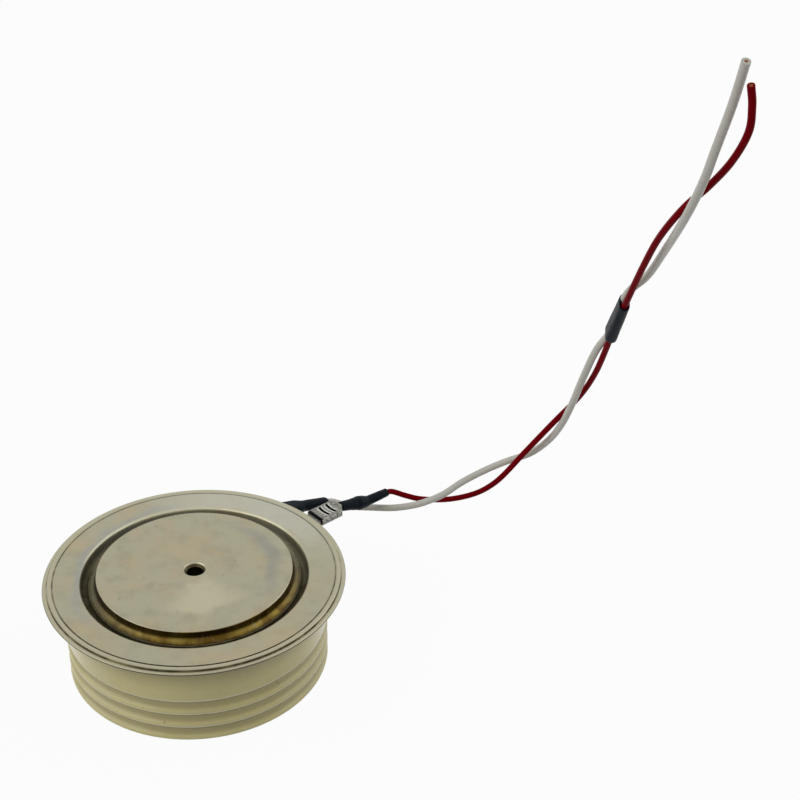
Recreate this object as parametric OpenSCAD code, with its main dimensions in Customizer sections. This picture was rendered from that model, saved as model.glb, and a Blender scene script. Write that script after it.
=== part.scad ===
// Disc thyristor: a press-pack capsule with an auxiliary cathode lead and a gate lead.
// Millimetres, +Z up. The origin is the centre of the anode pole face, which lies on the table.

/* [Capsule] */
// Height over the two pole faces
capsule_h = 26; // [25:0.5:36]
// Diameter of each pole face
pole_d = 48; // [44:0.5:60]
// Height of the cathode pole face above the lid
cathode_stand = 1.3; // [0.8:0.1:2.5]
// Height of the anode diaphragm above the anode pole face
anode_stand = 0.3; // [0.2:0.1:1]
// Rounding of the rim of each pole face
pole_edge = 0.25; // [0.1:0.05:0.5]
// Straight wall between the rounded rim of the anode pole and its cove
pole_neck = 0.1; // [0.05:0.05:0.6]
// Radius of the cove that widens each pole out to its collar
pole_cove = 1.45; // [0.8:0.05:2.2]

/* [Locating holes] */
// Diameter of the blind hole in the middle of each pole face
locator_d = 4; // [3:0.1:4.6]
// Depth of the blind hole
locator_depth = 3; // [2:0.1:3.4]
// Width of the chamfer round the mouth of the hole
locator_chamfer = 0.8; // [0.3:0.1:1.2]

/* [Lid and diaphragm sheets] */
// Thickness of the lid and of the anode diaphragm
sheet_t = 0.45; // [0.3:0.05:0.6]
// Width of the groove round each pole
groove_w = 1.75; // [1.2:0.05:2.5]
// Straight height of the collar that is brazed round each pole
collar_h = 0.75; // [0.4:0.05:1.2]
// Bend radius of the outer lip of the groove
lip_r = 0.8; // [0.65:0.05:1.3]
// Gap that the braze fills between a collar or a tube and its seat
braze_gap = 0.05; // [0.02:0.01:0.1]
// Distance from the rim of the anode diaphragm to the outside of the ceramic
diaphragm_inset = 1.2; // [0.8:0.1:2]

/* [Welded rim] */
// Overhang of the weld ring past the ceramic
flange_overhang = 4.7; // [4.6:0.1:8]
// Thickness of the weld ring
ring_t = 0.6; // [0.4:0.05:1]
// Width of the weld ring's lip that shows outside the lid
ring_lip = 1.15; // [0.8:0.05:1.6]
// Distance from the weld ring's bore to the ceramic's bore
ring_setback = 0.15; // [0.1:0.05:0.6]
// Width of the raised bead along the lid's rim
bead_w = 1.2; // [0.8:0.05:1.6]
// Height of the bead above the lid
bead_rise = 0.1; // [0.05:0.05:0.2]
// Height of the bead's domed crown
bead_crown = 0.15; // [0.1:0.05:0.25]
// Width of the pressed line between the lid and its bead
weld_line_w = 0.25; // [0.15:0.05:0.4]
// Depth of the pressed line
weld_line_depth = 0.22; // [0.1:0.02:0.26]

/* [Ceramic ring] */
// Wall of the ceramic ring
ceramic_wall = 3.5; // [3:0.1:6]
// Clearance between the lid's convolution and the ceramic bore
ceramic_clear = 0.65; // [0.3:0.05:1.5]
// Number of ribs below the plain band
rib_count = 4; // [2:1:5]
// Distance from rib to rib
rib_pitch = 3.95; // [3:0.05:4]
// Depth of the grooves between the ribs
rib_depth = 0.9; // [0.5:0.05:1.2]
// Crest radius of a rib
rib_crest = 1; // [0.6:0.05:1.3]
// Height of the ceramic's skirt above the anode face
ceramic_lift = 0.2; // [0.1:0.05:0.6]
// Height of the lowest crest above the foot of the skirt
rib_foot = 0.3; // [0.2:0.05:1]

/* [Wafer stack] */
// Height of the anode pole
anode_pole_h = 10; // [8:0.1:10.5]
// Margin of the pole face round the wafer and the anode disc
wafer_margin = 0.5; // [0.3:0.1:1.5]
// Thickness of the silicon wafer
wafer_t = 0.8; // [0.5:0.05:1.2]
// Thickness of the anode disc under the wafer
anode_disc_t = 2; // [1.5:0.1:2.5]
// Margin of the wafer round the cathode disc
cathode_disc_margin = 3; // [2.5:0.1:5]
// Thickness of the cathode disc
cathode_disc_t = 1.5; // [1:0.1:2]
// Width of the rubber bead round the wafer's edge
edge_seal_w = 1.3; // [0.8:0.1:1.4]
// Height by which the rubber bead covers the faces beside the wafer's edge
edge_seal_cover = 0.6; // [0.4:0.05:0.9]
// Clearance of the centering ring round the stack and inside the ceramic
centering_clear = 0.2; // [0.1:0.05:0.4]
// Height of the centering ring above the wafer
centering_rise = 1.2; // [0.8:0.1:1.8]

/* [Gate] */
// Angle of the gate tube round the capsule
gate_angle = 64; // [60:0.5:75]
// Depth of the gate tube below the top of the ceramic
gate_drop = 4; // [3:0.1:5]
// Outer diameter of the gate tube
gate_tube_d = 2; // [1.6:0.1:2.4]
// Wall of the gate tube
gate_tube_wall = 0.35; // [0.25:0.05:0.5]
// Length of the gate tube outside the ceramic
gate_tube_out = 1.6; // [1.4:0.1:2.2]
// Diameter of the inner gate wire
gate_wire_d = 1; // [0.6:0.05:1.1]
// Wall of the insulating tube on the inner gate wire
gate_wire_wall = 0.4; // [0.2:0.05:0.5]
// Height of the inner gate wire above the cathode disc
gate_wire_rise = 2.7; // [2.2:0.1:3]
// Diameter of the gate contact pin
gate_pin_d = 2.4; // [1.8:0.1:3]
// Diameter of the pin's head
gate_head_d = 4.4; // [3.8:0.1:5]
// Height of the pin's head
gate_head_h = 2; // [1.6:0.1:2.4]
// Wire of the gate spring
gate_spring_wire = 0.5; // [0.3:0.05:0.6]
// Turns of the gate spring
gate_spring_turns = 3; // [2:1:4]
// Free space that the gate spring fills above the head
gate_spring_h = 2.4; // [2:0.1:2.8]
// Outer diameter of the gate's insulating cup
gate_cup_d = 8; // [7:0.1:9]
// Wall of the insulating cup
gate_cup_wall = 0.8; // [0.5:0.05:1]
// Clearance round the gate pieces
gate_clear = 0.1; // [0.05:0.05:0.2]

/* [Terminals] */
// Angle of the cathode tab round the capsule
tab_angle = 42.5; // [30:0.5:44]
// Turn of the gate tab towards the cathode tab, from the direction of that tab
gate_turn = 8; // [0:0.5:12]
// Downward slope of the cathode tab and of what is plugged on it
tab_slope = 0.5; // [0:0.5:9]
// Downward slope of the gate tab
gate_slope = 11; // [3:0.5:14]
// Thickness of both tabs
tab_t = 0.8; // [0.5:0.05:1]
// Width of the cathode tab
tab_w = 4.8; // [4:0.1:6.3]
// Extra width of the cathode tab's root
tab_root_extra = 1.8; // [1:0.1:2.4]
// Gap between the cathode tab's root and the ceramic
tab_root_gap = 0.4; // [0.2:0.05:0.8]
// Distance from each tab's tip to the far end of its receptacle's box
tab_stop = 1.2; // [1.1:0.05:1.6]
// Width of the gate tab
gate_tab_w = 2.8; // [2.4:0.1:3.2]
// Depth of the gate tab below the weld ring
gate_tab_drop = 1.75; // [1.7:0.05:2.2]
// Downward bend of the cathode crimp behind its receptacle's box
neck_bend = 15; // [0:1:20]
// Upward bend of the cathode sleeve's slim end
tail_rise = 13; // [0:0.5:20]
// Sheet of the push-on receptacles
receptacle_t = 0.45; // [0.3:0.05:0.5]
// Clearance between a tab and its receptacle
receptacle_clear = 0.15; // [0.05:0.05:0.2]
// Length of the cathode receptacle's box
receptacle_l = 8; // [6.5:0.1:9]
// Distance from the flange's rim to the cathode receptacle
receptacle_gap = 1.3; // [0.3:0.1:1.8]
// Length of the gate receptacle's box
gate_receptacle_l = 5.4; // [4.8:0.1:6.5]
// Distance from the gate tab's root to the gate receptacle
gate_receptacle_gap = 4.2; // [3.5:0.1:5]
// Outer diameter of the crimped conductor barrel
barrel_d = 1.8; // [1.5:0.05:2]
// Outer diameter of the insulation grip behind it
grip_d = 2.3; // [2.1:0.05:2.8]
// Length of the conductor barrel
barrel_l = 3.2; // [2:0.1:4]
// Length of the insulation grip
grip_l = 6; // [2:0.1:7]

/* [Sleeves] */
// Wall of the shrunk sleeves
sleeve_wall = 0.3; // [0.2:0.05:0.45]
// Length of the slim end of the cathode sleeve on its lead
sleeve_tail_l = 7.2; // [6:0.1:12]
// Height of the bulge over the insulation grip
sleeve_bulge = 0.35; // [0.1:0.05:0.5]
// Length of the gate sleeve past the insulation grip
gate_sleeve_tip = 0.8; // [0.5:0.1:4]
// Length of the sleeve that ties the two leads
tie_sleeve_l = 16; // [12:0.5:18]
// How far the tie sleeve is slid up the leads
tie_slide = -0.6; // [-2:0.1:4]

/* [Leads] */
// Diameter of the red cathode lead
red_d = 1.5; // [1.2:0.05:1.6]
// Diameter of the white gate lead
white_d = 1.8; // [1.4:0.05:1.9]

/* [Hidden] */
$fn = 96;
eps = 0.01;

// Radii, from the pole outwards
pole_r = pole_d / 2;
body_r = pole_r + pole_cove;
collar_ri = body_r + braze_gap;
collar_ro = collar_ri + sheet_t;
groove_ro = collar_ro + groove_w;
ceramic_ri = groove_ro + sheet_t + ceramic_clear;
ceramic_ro = ceramic_ri + ceramic_wall;
flange_r = ceramic_ro + flange_overhang;
lid_r = flange_r - ring_lip;
bead_ri = lid_r - bead_w;
diaphragm_r = ceramic_ro - diaphragm_inset;
wafer_r = pole_r - wafer_margin;
cathode_disc_r = wafer_r - cathode_disc_margin;
centering_ri = wafer_r + centering_clear;

// Depths of the sheets' convolution below their flat
collar_drop = pole_edge + pole_neck + pole_cove - anode_stand;
groove_floor_r = groove_w / 2;
groove_centre = collar_drop + collar_h;
groove_depth = groove_centre + groove_floor_r;

// Heights
lid_top = capsule_h - cathode_stand;
ring_top = lid_top - sheet_t;
ceramic_top = ring_top - ring_t;
ceramic_foot = anode_stand + sheet_t;
wafer_z = anode_pole_h + anode_disc_t;
wafer_top = wafer_z + wafer_t;
stack_top = wafer_top + cathode_disc_t;
gate_z = ceramic_top - gate_drop;
gate_wire_z = stack_top + gate_wire_rise;
gate_head_z = gate_wire_z - gate_head_h / 2;
gate_spring_z = gate_head_z + gate_head_h;
gate_cup_top = gate_spring_z + gate_spring_h + gate_cup_wall;

// Ribs: crest arcs and groove arcs that meet smoothly
rib_arcs = (rib_pitch * rib_pitch / 4 + rib_depth * rib_depth) / (2 * rib_depth);
rib_groove = rib_arcs - rib_crest + eps / 2;
rib_shoulder_r = ceramic_ro - rib_crest * rib_depth / rib_arcs;
function crest_z(i) = ceramic_lift + rib_foot + i * rib_pitch;

// Terminals
tab_z = ceramic_top - tab_t / 2;
tab_root_r = ceramic_ro + tab_root_gap;
tab_bend_r = tab_root_r + tab_root_extra + 0.5;
receptacle_h = tab_t + 2 * (receptacle_clear + receptacle_t);
receptacle_x = flange_r + receptacle_gap - tab_bend_r;
receptacle_end = receptacle_x + receptacle_l;
gate_tab_z = ceramic_top - gate_tab_drop;
gate_tab_r = ceramic_ro + tab_root_gap + tab_t / 2;
gate_tab_angle = tab_angle - gate_turn;
gate_receptacle_end = gate_receptacle_gap + gate_receptacle_l;
gate_sleeve_x = gate_receptacle_gap - sleeve_wall;
crimp_l = barrel_l + grip_l;
gate_sleeve_end = gate_receptacle_end + crimp_l + gate_sleeve_tip;
tab_l = receptacle_end - tab_stop;
gate_tab_l = gate_receptacle_end - tab_stop;
sleeve_shoulder = crimp_l + 2 * sleeve_wall;
function box_w(blade_w) = blade_w + 2 * (receptacle_clear + receptacle_t) + receptacle_t;

// Leads: rings have 8 sides, and the routes are points in space from the sleeves to the cut ends
lead_sides = 8;
lead_steps = 2;
lead_straight = 2;
red_route = [
    [51.6, 44.2, 18.1], [55.5, 44.6, 16.8], [61, 43.7, 17.2], [65.7, 41.5, 19.4], [70.3, 39.3, 22.5],
    [73.8, 37.4, 26.1], [77.1, 36, 30.5], [82.2, 34.5, 38.7], [88.5, 31.2, 49.7], [94.3, 27.2, 60.4],
    [97, 20.9, 71.1], [98.5, 12, 85.5], [99.7, 1.7, 100.2], [101, -9.2, 115], [102.4, -17, 125.4],
    [105, -25, 135.3], [108.2, -30.6, 142.4], [110.6, -37, 150.2], [111.7, -42.7, 158.2], [111, -45.9, 164.4],
    [109.9, -47.8, 168.9]
];
white_route = [
    [36.6, 41.8, 16], [42, 41.1, 16.2], [48.3, 38.6, 17.9], [53.9, 36.6, 20.3], [58.1, 36.2, 22.2],
    [62, 36.7, 24.1], [66.5, 38.3, 26.7], [72.5, 39.6, 29.7], [78.2, 39.6, 32.7], [84.2, 37.5, 36.8],
    [88.3, 33.8, 43.3], [90.7, 29.5, 50.7], [92.3, 25.2, 59], [94.2, 21.5, 69.3], [96.2, 17.5, 79.1],
    [98.6, 13.5, 86.6], [99.8, 3.2, 101.3], [103, -2.8, 109.2], [104.5, -12.2, 119.8], [105.2, -26.5, 133.8],
    [106.4, -33.9, 144.6], [107.2, -37.4, 152.4], [108.5, -41.5, 163.1], [109, -45.7, 172.5]
];
tie_red = [red_route[11], red_route[12]];
tie_white = [white_route[15], white_route[16]];

// Flat shapes

module stadium(width, height) {
    side = (width - height) / 2;
    square([2 * side, height], center = true);
    for (end = [-1, 1]) translate([end * side, 0]) circle(d = height);
}

// Pressed sheet from its collar to rim_r: y is 0 on the outer face and grows into the capsule
module sheet_section(rim_r) {
    flat_ri = groove_ro + lip_r;
    translate([collar_ri, collar_drop]) square([sheet_t, collar_h]);
    translate([collar_ro + groove_floor_r, groove_centre]) intersection() {
        difference() {
            circle(groove_floor_r + sheet_t);
            circle(groove_floor_r);
        }
        translate([-groove_w, 0]) square([2 * groove_w, groove_w]);
    }
    translate([groove_ro, lip_r]) square([sheet_t, groove_centre - lip_r]);
    translate([flat_ri, lip_r]) intersection() {
        difference() {
            circle(lip_r);
            circle(lip_r - sheet_t);
        }
        translate([-lip_r, -lip_r]) square(lip_r);
    }
    translate([flat_ri, 0]) square([rim_r - flat_ri, sheet_t]);
}

// Half of a pole: y is 0 on the pole face and grows into the capsule
module pole_section(stand, length, contact_r) {
    collar_y = stand + collar_drop;
    cove_y = collar_y - pole_cove;
    body_end = stand + groove_depth;
    square([pole_r - pole_edge, pole_edge]);
    translate([pole_r - pole_edge, pole_edge]) intersection() {
        circle(pole_edge);
        translate([0, -pole_edge]) square(pole_edge);
    }
    translate([0, pole_edge]) square([pole_r, cove_y - pole_edge]);
    difference() {
        translate([0, cove_y]) square([body_r, pole_cove]);
        translate([body_r, cove_y]) circle(pole_cove);
    }
    translate([0, collar_y]) square([body_r, body_end - collar_y]);
    translate([0, body_end]) square([contact_r, length - body_end]);
}

// Blind hole with a chamfered mouth, sunk from z = 0 downwards
module locating_hole() {
    translate([0, 0, -locator_depth]) cylinder(d = locator_d, h = locator_depth + eps);
    translate([0, 0, -locator_chamfer])
        cylinder(d1 = locator_d, d2 = locator_d + 2 * locator_chamfer, h = locator_chamfer);
}

// Placing along a radius, with X outwards
module at_gate_radius(z) {
    rotate([0, 0, gate_angle]) translate([0, 0, z]) rotate([0, 90, 0]) children();
}

module at_cathode_tab() {
    rotate([0, 0, tab_angle]) translate([tab_bend_r, 0, tab_z]) rotate([0, tab_slope, 0]) children();
}

module at_gate_tab() {
    rotate([0, 0, gate_angle]) translate([gate_tab_r, 0, gate_tab_z])
        rotate([0, 0, gate_tab_angle - gate_angle]) rotate([0, gate_slope, 0]) children();
}

// The same two placings for points and directions
function turn_y(p, a) = [p.x * cos(a) + p.z * sin(a), p.y, p.z * cos(a) - p.x * sin(a)];
function turn_z(p, a) = [p.x * cos(a) - p.y * sin(a), p.x * sin(a) + p.y * cos(a), p.z];
function on_cathode_tab(p) = turn_z(turn_y(p, tab_slope) + [tab_bend_r, 0, tab_z], tab_angle);
shoulder_point = [receptacle_end, 0, 0] + turn_y([sleeve_shoulder, 0, 0], neck_bend);
tail_end_point = shoulder_point + turn_y([sleeve_tail_l, 0, 0], neck_bend - tail_rise);
function on_gate_tab(x) =
    turn_z(turn_y([x, 0, 0], gate_slope), gate_tab_angle) + turn_z([gate_tab_r, 0, gate_tab_z], gate_angle);

// Capsule

module ceramic_ring() {
    band_z = crest_z(rib_count - 1);
    core_r = ceramic_ro - rib_crest;
    skirt_ri = diaphragm_r + 2 * braze_gap;
    color("#d9d2a4") difference() {
        rotate_extrude() intersection() {
            difference() {
                union() {
                    translate([ceramic_ri, ceramic_foot]) square([core_r - ceramic_ri, ceramic_top - ceramic_foot]);
                    translate([core_r - eps, crest_z(0)])
                        square([rib_shoulder_r - core_r + eps, ceramic_top - crest_z(0)]);
                    translate([core_r - eps, band_z]) square([rib_crest + eps, ceramic_top - band_z]);
                    for (i = [0:rib_count - 1]) translate([core_r, crest_z(i)]) circle(rib_crest);
                }
                for (i = [0:rib_count - 2])
                    translate([ceramic_ro - rib_depth + rib_groove, crest_z(i) + rib_pitch / 2]) circle(rib_groove);
            }
            union() {
                translate([ceramic_ri, ceramic_foot]) square([ceramic_wall + eps, ceramic_top - ceramic_foot]);
                translate([skirt_ri, ceramic_lift]) square([ceramic_ro - skirt_ri + eps, ceramic_top - ceramic_lift]);
            }
        }
        at_gate_radius(gate_z) cylinder(d = gate_tube_d + 2 * braze_gap, h = flange_r);
    }
}

module weld_ring() {
    ring_ri = ceramic_ri + ring_setback;
    color("#b3ad98") rotate_extrude() translate([0, ceramic_top]) {
        translate([ring_ri, 0]) square([flange_r - ring_t / 2 - ring_ri, ring_t]);
        translate([flange_r - ring_t / 2, ring_t / 2]) circle(d = ring_t);
    }
}

module cathode_lid() {
    crown_r = (bead_w * bead_w / 4 + bead_crown * bead_crown) / (2 * bead_crown);
    color("#aaa48c") rotate_extrude() translate([0, lid_top]) mirror([0, 1]) {
        difference() {
            sheet_section(bead_ri);
            translate([bead_ri - weld_line_w, -eps]) square([weld_line_w + eps, weld_line_depth + eps]);
        }
        intersection() {
            translate([bead_ri, -bead_rise]) square([bead_w, sheet_t + bead_rise]);
            translate([bead_ri + bead_w / 2, crown_r - bead_rise]) circle(crown_r);
        }
    }
}

module cathode_pole() {
    slot_w = gate_wire_d + 2 * gate_wire_wall + 4 * gate_clear;
    slot_top = gate_wire_z + slot_w / 2;
    color("#a8a189") difference() {
        rotate_extrude() translate([0, capsule_h]) mirror([0, 1])
            pole_section(cathode_stand, capsule_h - stack_top, cathode_disc_r);
        translate([0, 0, capsule_h]) locating_hole();
        translate([0, 0, stack_top - eps])
            cylinder(d = gate_cup_d + 2 * gate_clear, h = gate_cup_top - stack_top + eps);
        rotate([0, 0, gate_angle]) translate([0, -slot_w / 2, stack_top - eps])
            cube([pole_r, slot_w, slot_top - stack_top + eps]);
    }
}

module anode_diaphragm() {
    color("#b0aa94") rotate_extrude() translate([0, anode_stand]) sheet_section(diaphragm_r);
}

module anode_pole() {
    color("#a8a189") difference() {
        rotate_extrude() pole_section(anode_stand, anode_pole_h, wafer_r);
        mirror([0, 0, 1]) locating_hole();
    }
}

// Wafer stack

module anode_disc() {
    color("#8d9093") translate([0, 0, anode_pole_h]) cylinder(r = wafer_r, h = anode_disc_t);
}

module silicon_wafer() {
    color("#4b5560") translate([0, 0, wafer_z]) cylinder(r = wafer_r, h = wafer_t);
}

module edge_seal() {
    cover_ri = (cathode_disc_r + wafer_r) / 2;
    color("#8a2f22") rotate_extrude() difference() {
        translate([cover_ri, wafer_z - edge_seal_cover])
            square([wafer_r + edge_seal_w - cover_ri, wafer_t + 2 * edge_seal_cover]);
        translate([0, wafer_z - 2 * edge_seal_cover]) square([wafer_r, wafer_t + 2 * edge_seal_cover]);
    }
}

module cathode_disc() {
    color("#8d9093") translate([0, 0, wafer_top]) difference() {
        cylinder(r = cathode_disc_r, h = cathode_disc_t);
        translate([0, 0, -eps]) cylinder(d = gate_cup_d - 2 * gate_cup_wall, h = cathode_disc_t + 2 * eps);
    }
}

// Ring that keeps the stack in the middle: its foot stands on the anode pole's shoulder
module centering_ring() {
    foot_z = anode_stand + groove_depth;
    flange_z = foot_z + 2 * sheet_t + centering_clear;
    seat_z = wafer_z - edge_seal_cover - centering_clear;
    top_z = wafer_top + centering_rise;
    seat_r = wafer_r + edge_seal_w + centering_clear;
    outer_r = ceramic_ri - centering_clear;
    color("#e9e6dc") rotate_extrude() polygon([
        [centering_ri, foot_z], [body_r, foot_z], [body_r, flange_z], [outer_r, flange_z],
        [outer_r, top_z], [seat_r, top_z], [seat_r, seat_z], [centering_ri, seat_z]
    ]);
}

// Gate

module gate_pin() {
    color("#c9b26a") difference() {
        union() {
            translate([0, 0, wafer_top]) cylinder(d = gate_pin_d, h = gate_head_z - wafer_top);
            translate([0, 0, gate_head_z]) cylinder(d = gate_head_d, h = gate_head_h);
        }
        at_gate_radius(gate_wire_z) cylinder(d = gate_wire_d + 2 * braze_gap, h = gate_head_d);
    }
}

module gate_spring() {
    coil_r = gate_head_d / 2 - gate_spring_wire;
    rise = gate_spring_h - gate_spring_wire;
    steps = 14;
    coil = [
        for (i = [0:steps * gate_spring_turns])
            let (turn = i / steps)
                [coil_r * cos(360 * turn), coil_r * sin(360 * turn), rise * turn / gate_spring_turns]
    ];
    color("#9aa0a4") translate([0, 0, gate_spring_z + gate_spring_wire / 2])
        tube_along(coil, gate_spring_wire, [0, 0, 1]);
}

module gate_cup() {
    inner_h = gate_cup_top - gate_cup_wall - stack_top;
    color("#f0eee6") translate([0, 0, stack_top]) difference() {
        cylinder(d = gate_cup_d, h = gate_cup_top - stack_top);
        translate([0, 0, -eps]) cylinder(d = gate_cup_d - 2 * gate_cup_wall, h = inner_h + eps);
        at_gate_radius(gate_wire_rise) cylinder(d = gate_wire_d + 2 * gate_clear, h = gate_cup_d);
    }
}

// Inner gate wire: level through the pole, up to the gate tube and out through it
module gate_wire() {
    start_r = gate_pin_d / 2;
    rise_r = cathode_disc_r + 1;
    tube_r = ceramic_ri - 2;
    end_r = ceramic_ro + gate_tube_out - gate_tube_wall;
    level = gate_wire_z;
    points = [
        [start_r - 1, 0, level], [start_r, 0, level], [rise_r / 3, 0, level], [2 * rise_r / 3, 0, level],
        [rise_r, 0, level],
        [(rise_r + tube_r) / 2, 0, (level + gate_z) / 2], [tube_r, 0, gate_z], [ceramic_ri, 0, gate_z],
        [end_r, 0, gate_z], [end_r + 1, 0, gate_z]
    ];
    color("#c98f5a") rotate([0, 0, gate_angle]) tube_along(smooth(points), gate_wire_d, [0, 1, 0]);
}

module gate_wire_tube() {
    from_r = gate_cup_d / 2 + gate_clear;
    to_r = 0.65 * cathode_disc_r;
    color("#f4f3ee") at_gate_radius(gate_wire_z) translate([0, 0, from_r]) difference() {
        cylinder(d = gate_wire_d + 2 * gate_wire_wall, h = to_r - from_r);
        translate([0, 0, -eps]) cylinder(d = gate_wire_d + gate_clear, h = cathode_disc_r);
    }
}

module gate_tube() {
    from_r = ceramic_ri - 1;
    color("#b9b2a0") at_gate_radius(gate_z) translate([0, 0, from_r]) difference() {
        cylinder(d = gate_tube_d, h = ceramic_ro + gate_tube_out - from_r);
        translate([0, 0, -eps]) cylinder(d = gate_tube_d - 2 * gate_tube_wall, h = 2 * ceramic_wall + gate_tube_out);
    }
}

// Angle strip: an upright foot brazed round the gate tube, and the blade that the receptacle grips
module gate_tab() {
    foot_w = gate_tube_d + 2 * tab_t;
    foot_z = gate_z - foot_w / 2;
    color("#c2bfb4") {
        difference() {
            rotate([0, 0, gate_angle]) translate([gate_tab_r - tab_t / 2, -foot_w / 2, foot_z])
                cube([tab_t, foot_w, gate_tab_z + tab_t / 2 - foot_z]);
            at_gate_radius(gate_z) cylinder(d = gate_tube_d + 2 * braze_gap, h = flange_r);
        }
        intersection() {
            at_gate_tab() translate([-gate_tab_w, 0, 0]) blade(gate_tab_w, gate_tab_l + gate_tab_w);
            rotate([0, 0, gate_angle]) translate([gate_tab_r - tab_t / 2, -flange_r, 0]) cube(2 * flange_r);
        }
    }
}

// Terminals

// Flat blade along X with a bevelled tip and a detent hole
module blade(width, length) {
    tip = width / 6;
    difference() {
        translate([0, 0, -tab_t / 2]) linear_extrude(tab_t) polygon([
            [0, -width / 2], [length - tip, -width / 2], [length, -width / 2 + tip],
            [length, width / 2 - tip], [length - tip, width / 2], [0, width / 2]
        ]);
        translate([length - width / 2, 0, -tab_t]) cylinder(d = width / 4, h = 2 * tab_t);
    }
}

module cathode_tab() {
    root_w = tab_w + tab_root_extra;
    color("#c2bfb4") {
        rotate([0, 0, tab_angle]) translate([tab_root_r, -root_w / 2, tab_z - tab_t / 2])
            cube([tab_bend_r - tab_root_r, root_w, tab_t]);
        intersection() {
            at_cathode_tab() translate([-tab_t / 2, 0, 0]) blade(tab_w, tab_l + tab_t / 2);
            cylinder(r = 2 * flange_r, h = ceramic_top);
        }
    }
}

// Push-on receptacle along X: a box rolled round the blade, then a crimp barrel and an insulation grip
module receptacle(blade_w, length, bend = 0) {
    width = box_w(blade_w);
    inner_h = receptacle_h - 2 * receptacle_t;
    seam = blade_w / 4;
    neck_w = barrel_d;
    taper = (width - neck_w) / 3;
    bow_r = width;
    slot = receptacle_t;
    difference() {
        intersection() {
            rotate([90, 0, 90]) linear_extrude(length) difference() {
                stadium(width, receptacle_h);
                stadium(width - 2 * receptacle_t, inner_h);
                translate([-seam / 2, -receptacle_h]) square([seam, receptacle_h]);
            }
            translate([0, 0, -receptacle_h]) linear_extrude(2 * receptacle_h) polygon([
                [0, -width / 2], [length - taper, -width / 2], [length, -neck_w / 2],
                [length, neck_w / 2], [length - taper, width / 2], [0, width / 2]
            ]);
        }
        for (share = [0.36, 0.64]) intersection() {
            translate([share * length + bow_r, 0, 0]) difference() {
                cylinder(r = bow_r + slot, h = receptacle_h);
                translate([0, 0, -eps]) cylinder(r = bow_r, h = receptacle_h + 2 * eps);
            }
            translate([0, -blade_w * 0.42, 0]) cube([length, blade_w * 0.84, receptacle_h]);
        }
    }
    translate([length, 0, 0]) rotate([0, 90 + bend, 0]) difference() {
        union() {
            translate([0, 0, -2 * receptacle_t]) cylinder(d = barrel_d, h = barrel_l + 3 * receptacle_t);
            translate([0, 0, barrel_l]) cylinder(d = grip_d, h = grip_l);
        }
        translate([0, 0, -3 * receptacle_t])
            cylinder(d = barrel_d - 1.2 * receptacle_t, h = crimp_l + 4 * receptacle_t);
        translate([0, 0, barrel_l + receptacle_t]) cylinder(d = grip_d - 1.2 * receptacle_t, h = grip_l);
    }
}

module cathode_receptacle() {
    color("#a9aaa8") at_cathode_tab() translate([receptacle_x, 0, 0]) receptacle(tab_w, receptacle_l, neck_bend);
}

module gate_receptacle() {
    color("#a9aaa8") at_gate_tab() translate([gate_receptacle_gap, 0, 0]) receptacle(gate_tab_w, gate_receptacle_l);
}

// Sleeves

// Shrunk over the barrel and the grip, then bent up and slim round the lead
module cathode_sleeve() {
    barrel_r = barrel_d / 2 + braze_gap;
    grip_r = grip_d / 2 + braze_gap;
    slim_r = red_d / 2 + sleeve_wall;
    front = 2 * sleeve_wall;
    grip_x = barrel_l - braze_gap;
    grip_end = crimp_l + braze_gap;
    color("#222b34") at_cathode_tab() {
        translate([receptacle_end, 0, 0]) rotate([0, 90 + neck_bend, 0]) rotate_extrude() polygon([
            [barrel_r, front], [barrel_r + sleeve_wall, front],
            [barrel_r + 1.4 * sleeve_wall, grip_x - sleeve_wall],
            [grip_r + sleeve_wall, grip_x + sleeve_wall],
            [grip_r + sleeve_wall + sleeve_bulge, (grip_x + grip_end) / 2],
            [grip_r + sleeve_wall, grip_end],
            [slim_r + sleeve_wall, sleeve_shoulder], [slim_r, sleeve_shoulder + sleeve_wall],
            [0, sleeve_shoulder + sleeve_wall], [0, grip_end],
            [grip_r, grip_end], [grip_r, grip_x], [barrel_r, grip_x]
        ]);
        translate(shoulder_point) rotate([0, 90 + neck_bend - tail_rise, 0])
            cylinder(r = slim_r, h = sleeve_tail_l);
    }
}

// Flattened sleeve round the gate receptacle, pinched down to the lead
module gate_sleeve() {
    n = 24;
    front_w = box_w(gate_tab_w) + 2 * braze_gap;
    front_h = receptacle_h + 2 * braze_gap;
    grip_w = grip_d + 2 * braze_gap;
    grip_x = gate_receptacle_end + barrel_l - braze_gap;
    pocket_end = gate_receptacle_end + crimp_l + braze_gap;
    wall = 2 * sleeve_wall;
    outside = [
        oval(gate_sleeve_x, front_w + wall, front_h + wall, n),
        oval(gate_receptacle_end, front_w + wall, front_h + wall, n),
        oval(pocket_end, grip_w + wall, grip_w + wall, n),
        oval(gate_sleeve_end, white_d + 2 * wall, white_d + wall, n)
    ];
    pocket = [
        oval(pocket_end, grip_w, grip_w, n),
        oval(grip_x, grip_w, grip_w, n),
        oval(gate_receptacle_end, front_w, front_h, n),
        oval(gate_sleeve_x, front_w, front_h, n)
    ];
    color("#262c2a") at_gate_tab() loft(concat(pocket, outside), n);
}

// Oval ring of n points across the X axis
function oval(x, width, height, n) = [
    for (k = [0:n - 1])
        let (a = 360 * (k + 0.5) / n)
            [x, sign(cos(a)) * (width - height) / 2 + height / 2 * cos(a), height / 2 * sin(a)]
];

// Closed skin over a row of rings, with a cap on the first and on the last
module loft(rings, n) {
    last = len(rings) - 1;
    walls = [
        for (i = [0:last - 1]) for (k = [0:n - 1])
            [i * n + k, (i + 1) * n + k, (i + 1) * n + (k + 1) % n, i * n + (k + 1) % n]
    ];
    caps = [[for (k = [0:n - 1]) k], [for (k = [n - 1:-1:0]) last * n + k]];
    polyhedron(points = [for (ring = rings) each ring], faces = concat(walls, caps), convexity = 6);
}

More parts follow.
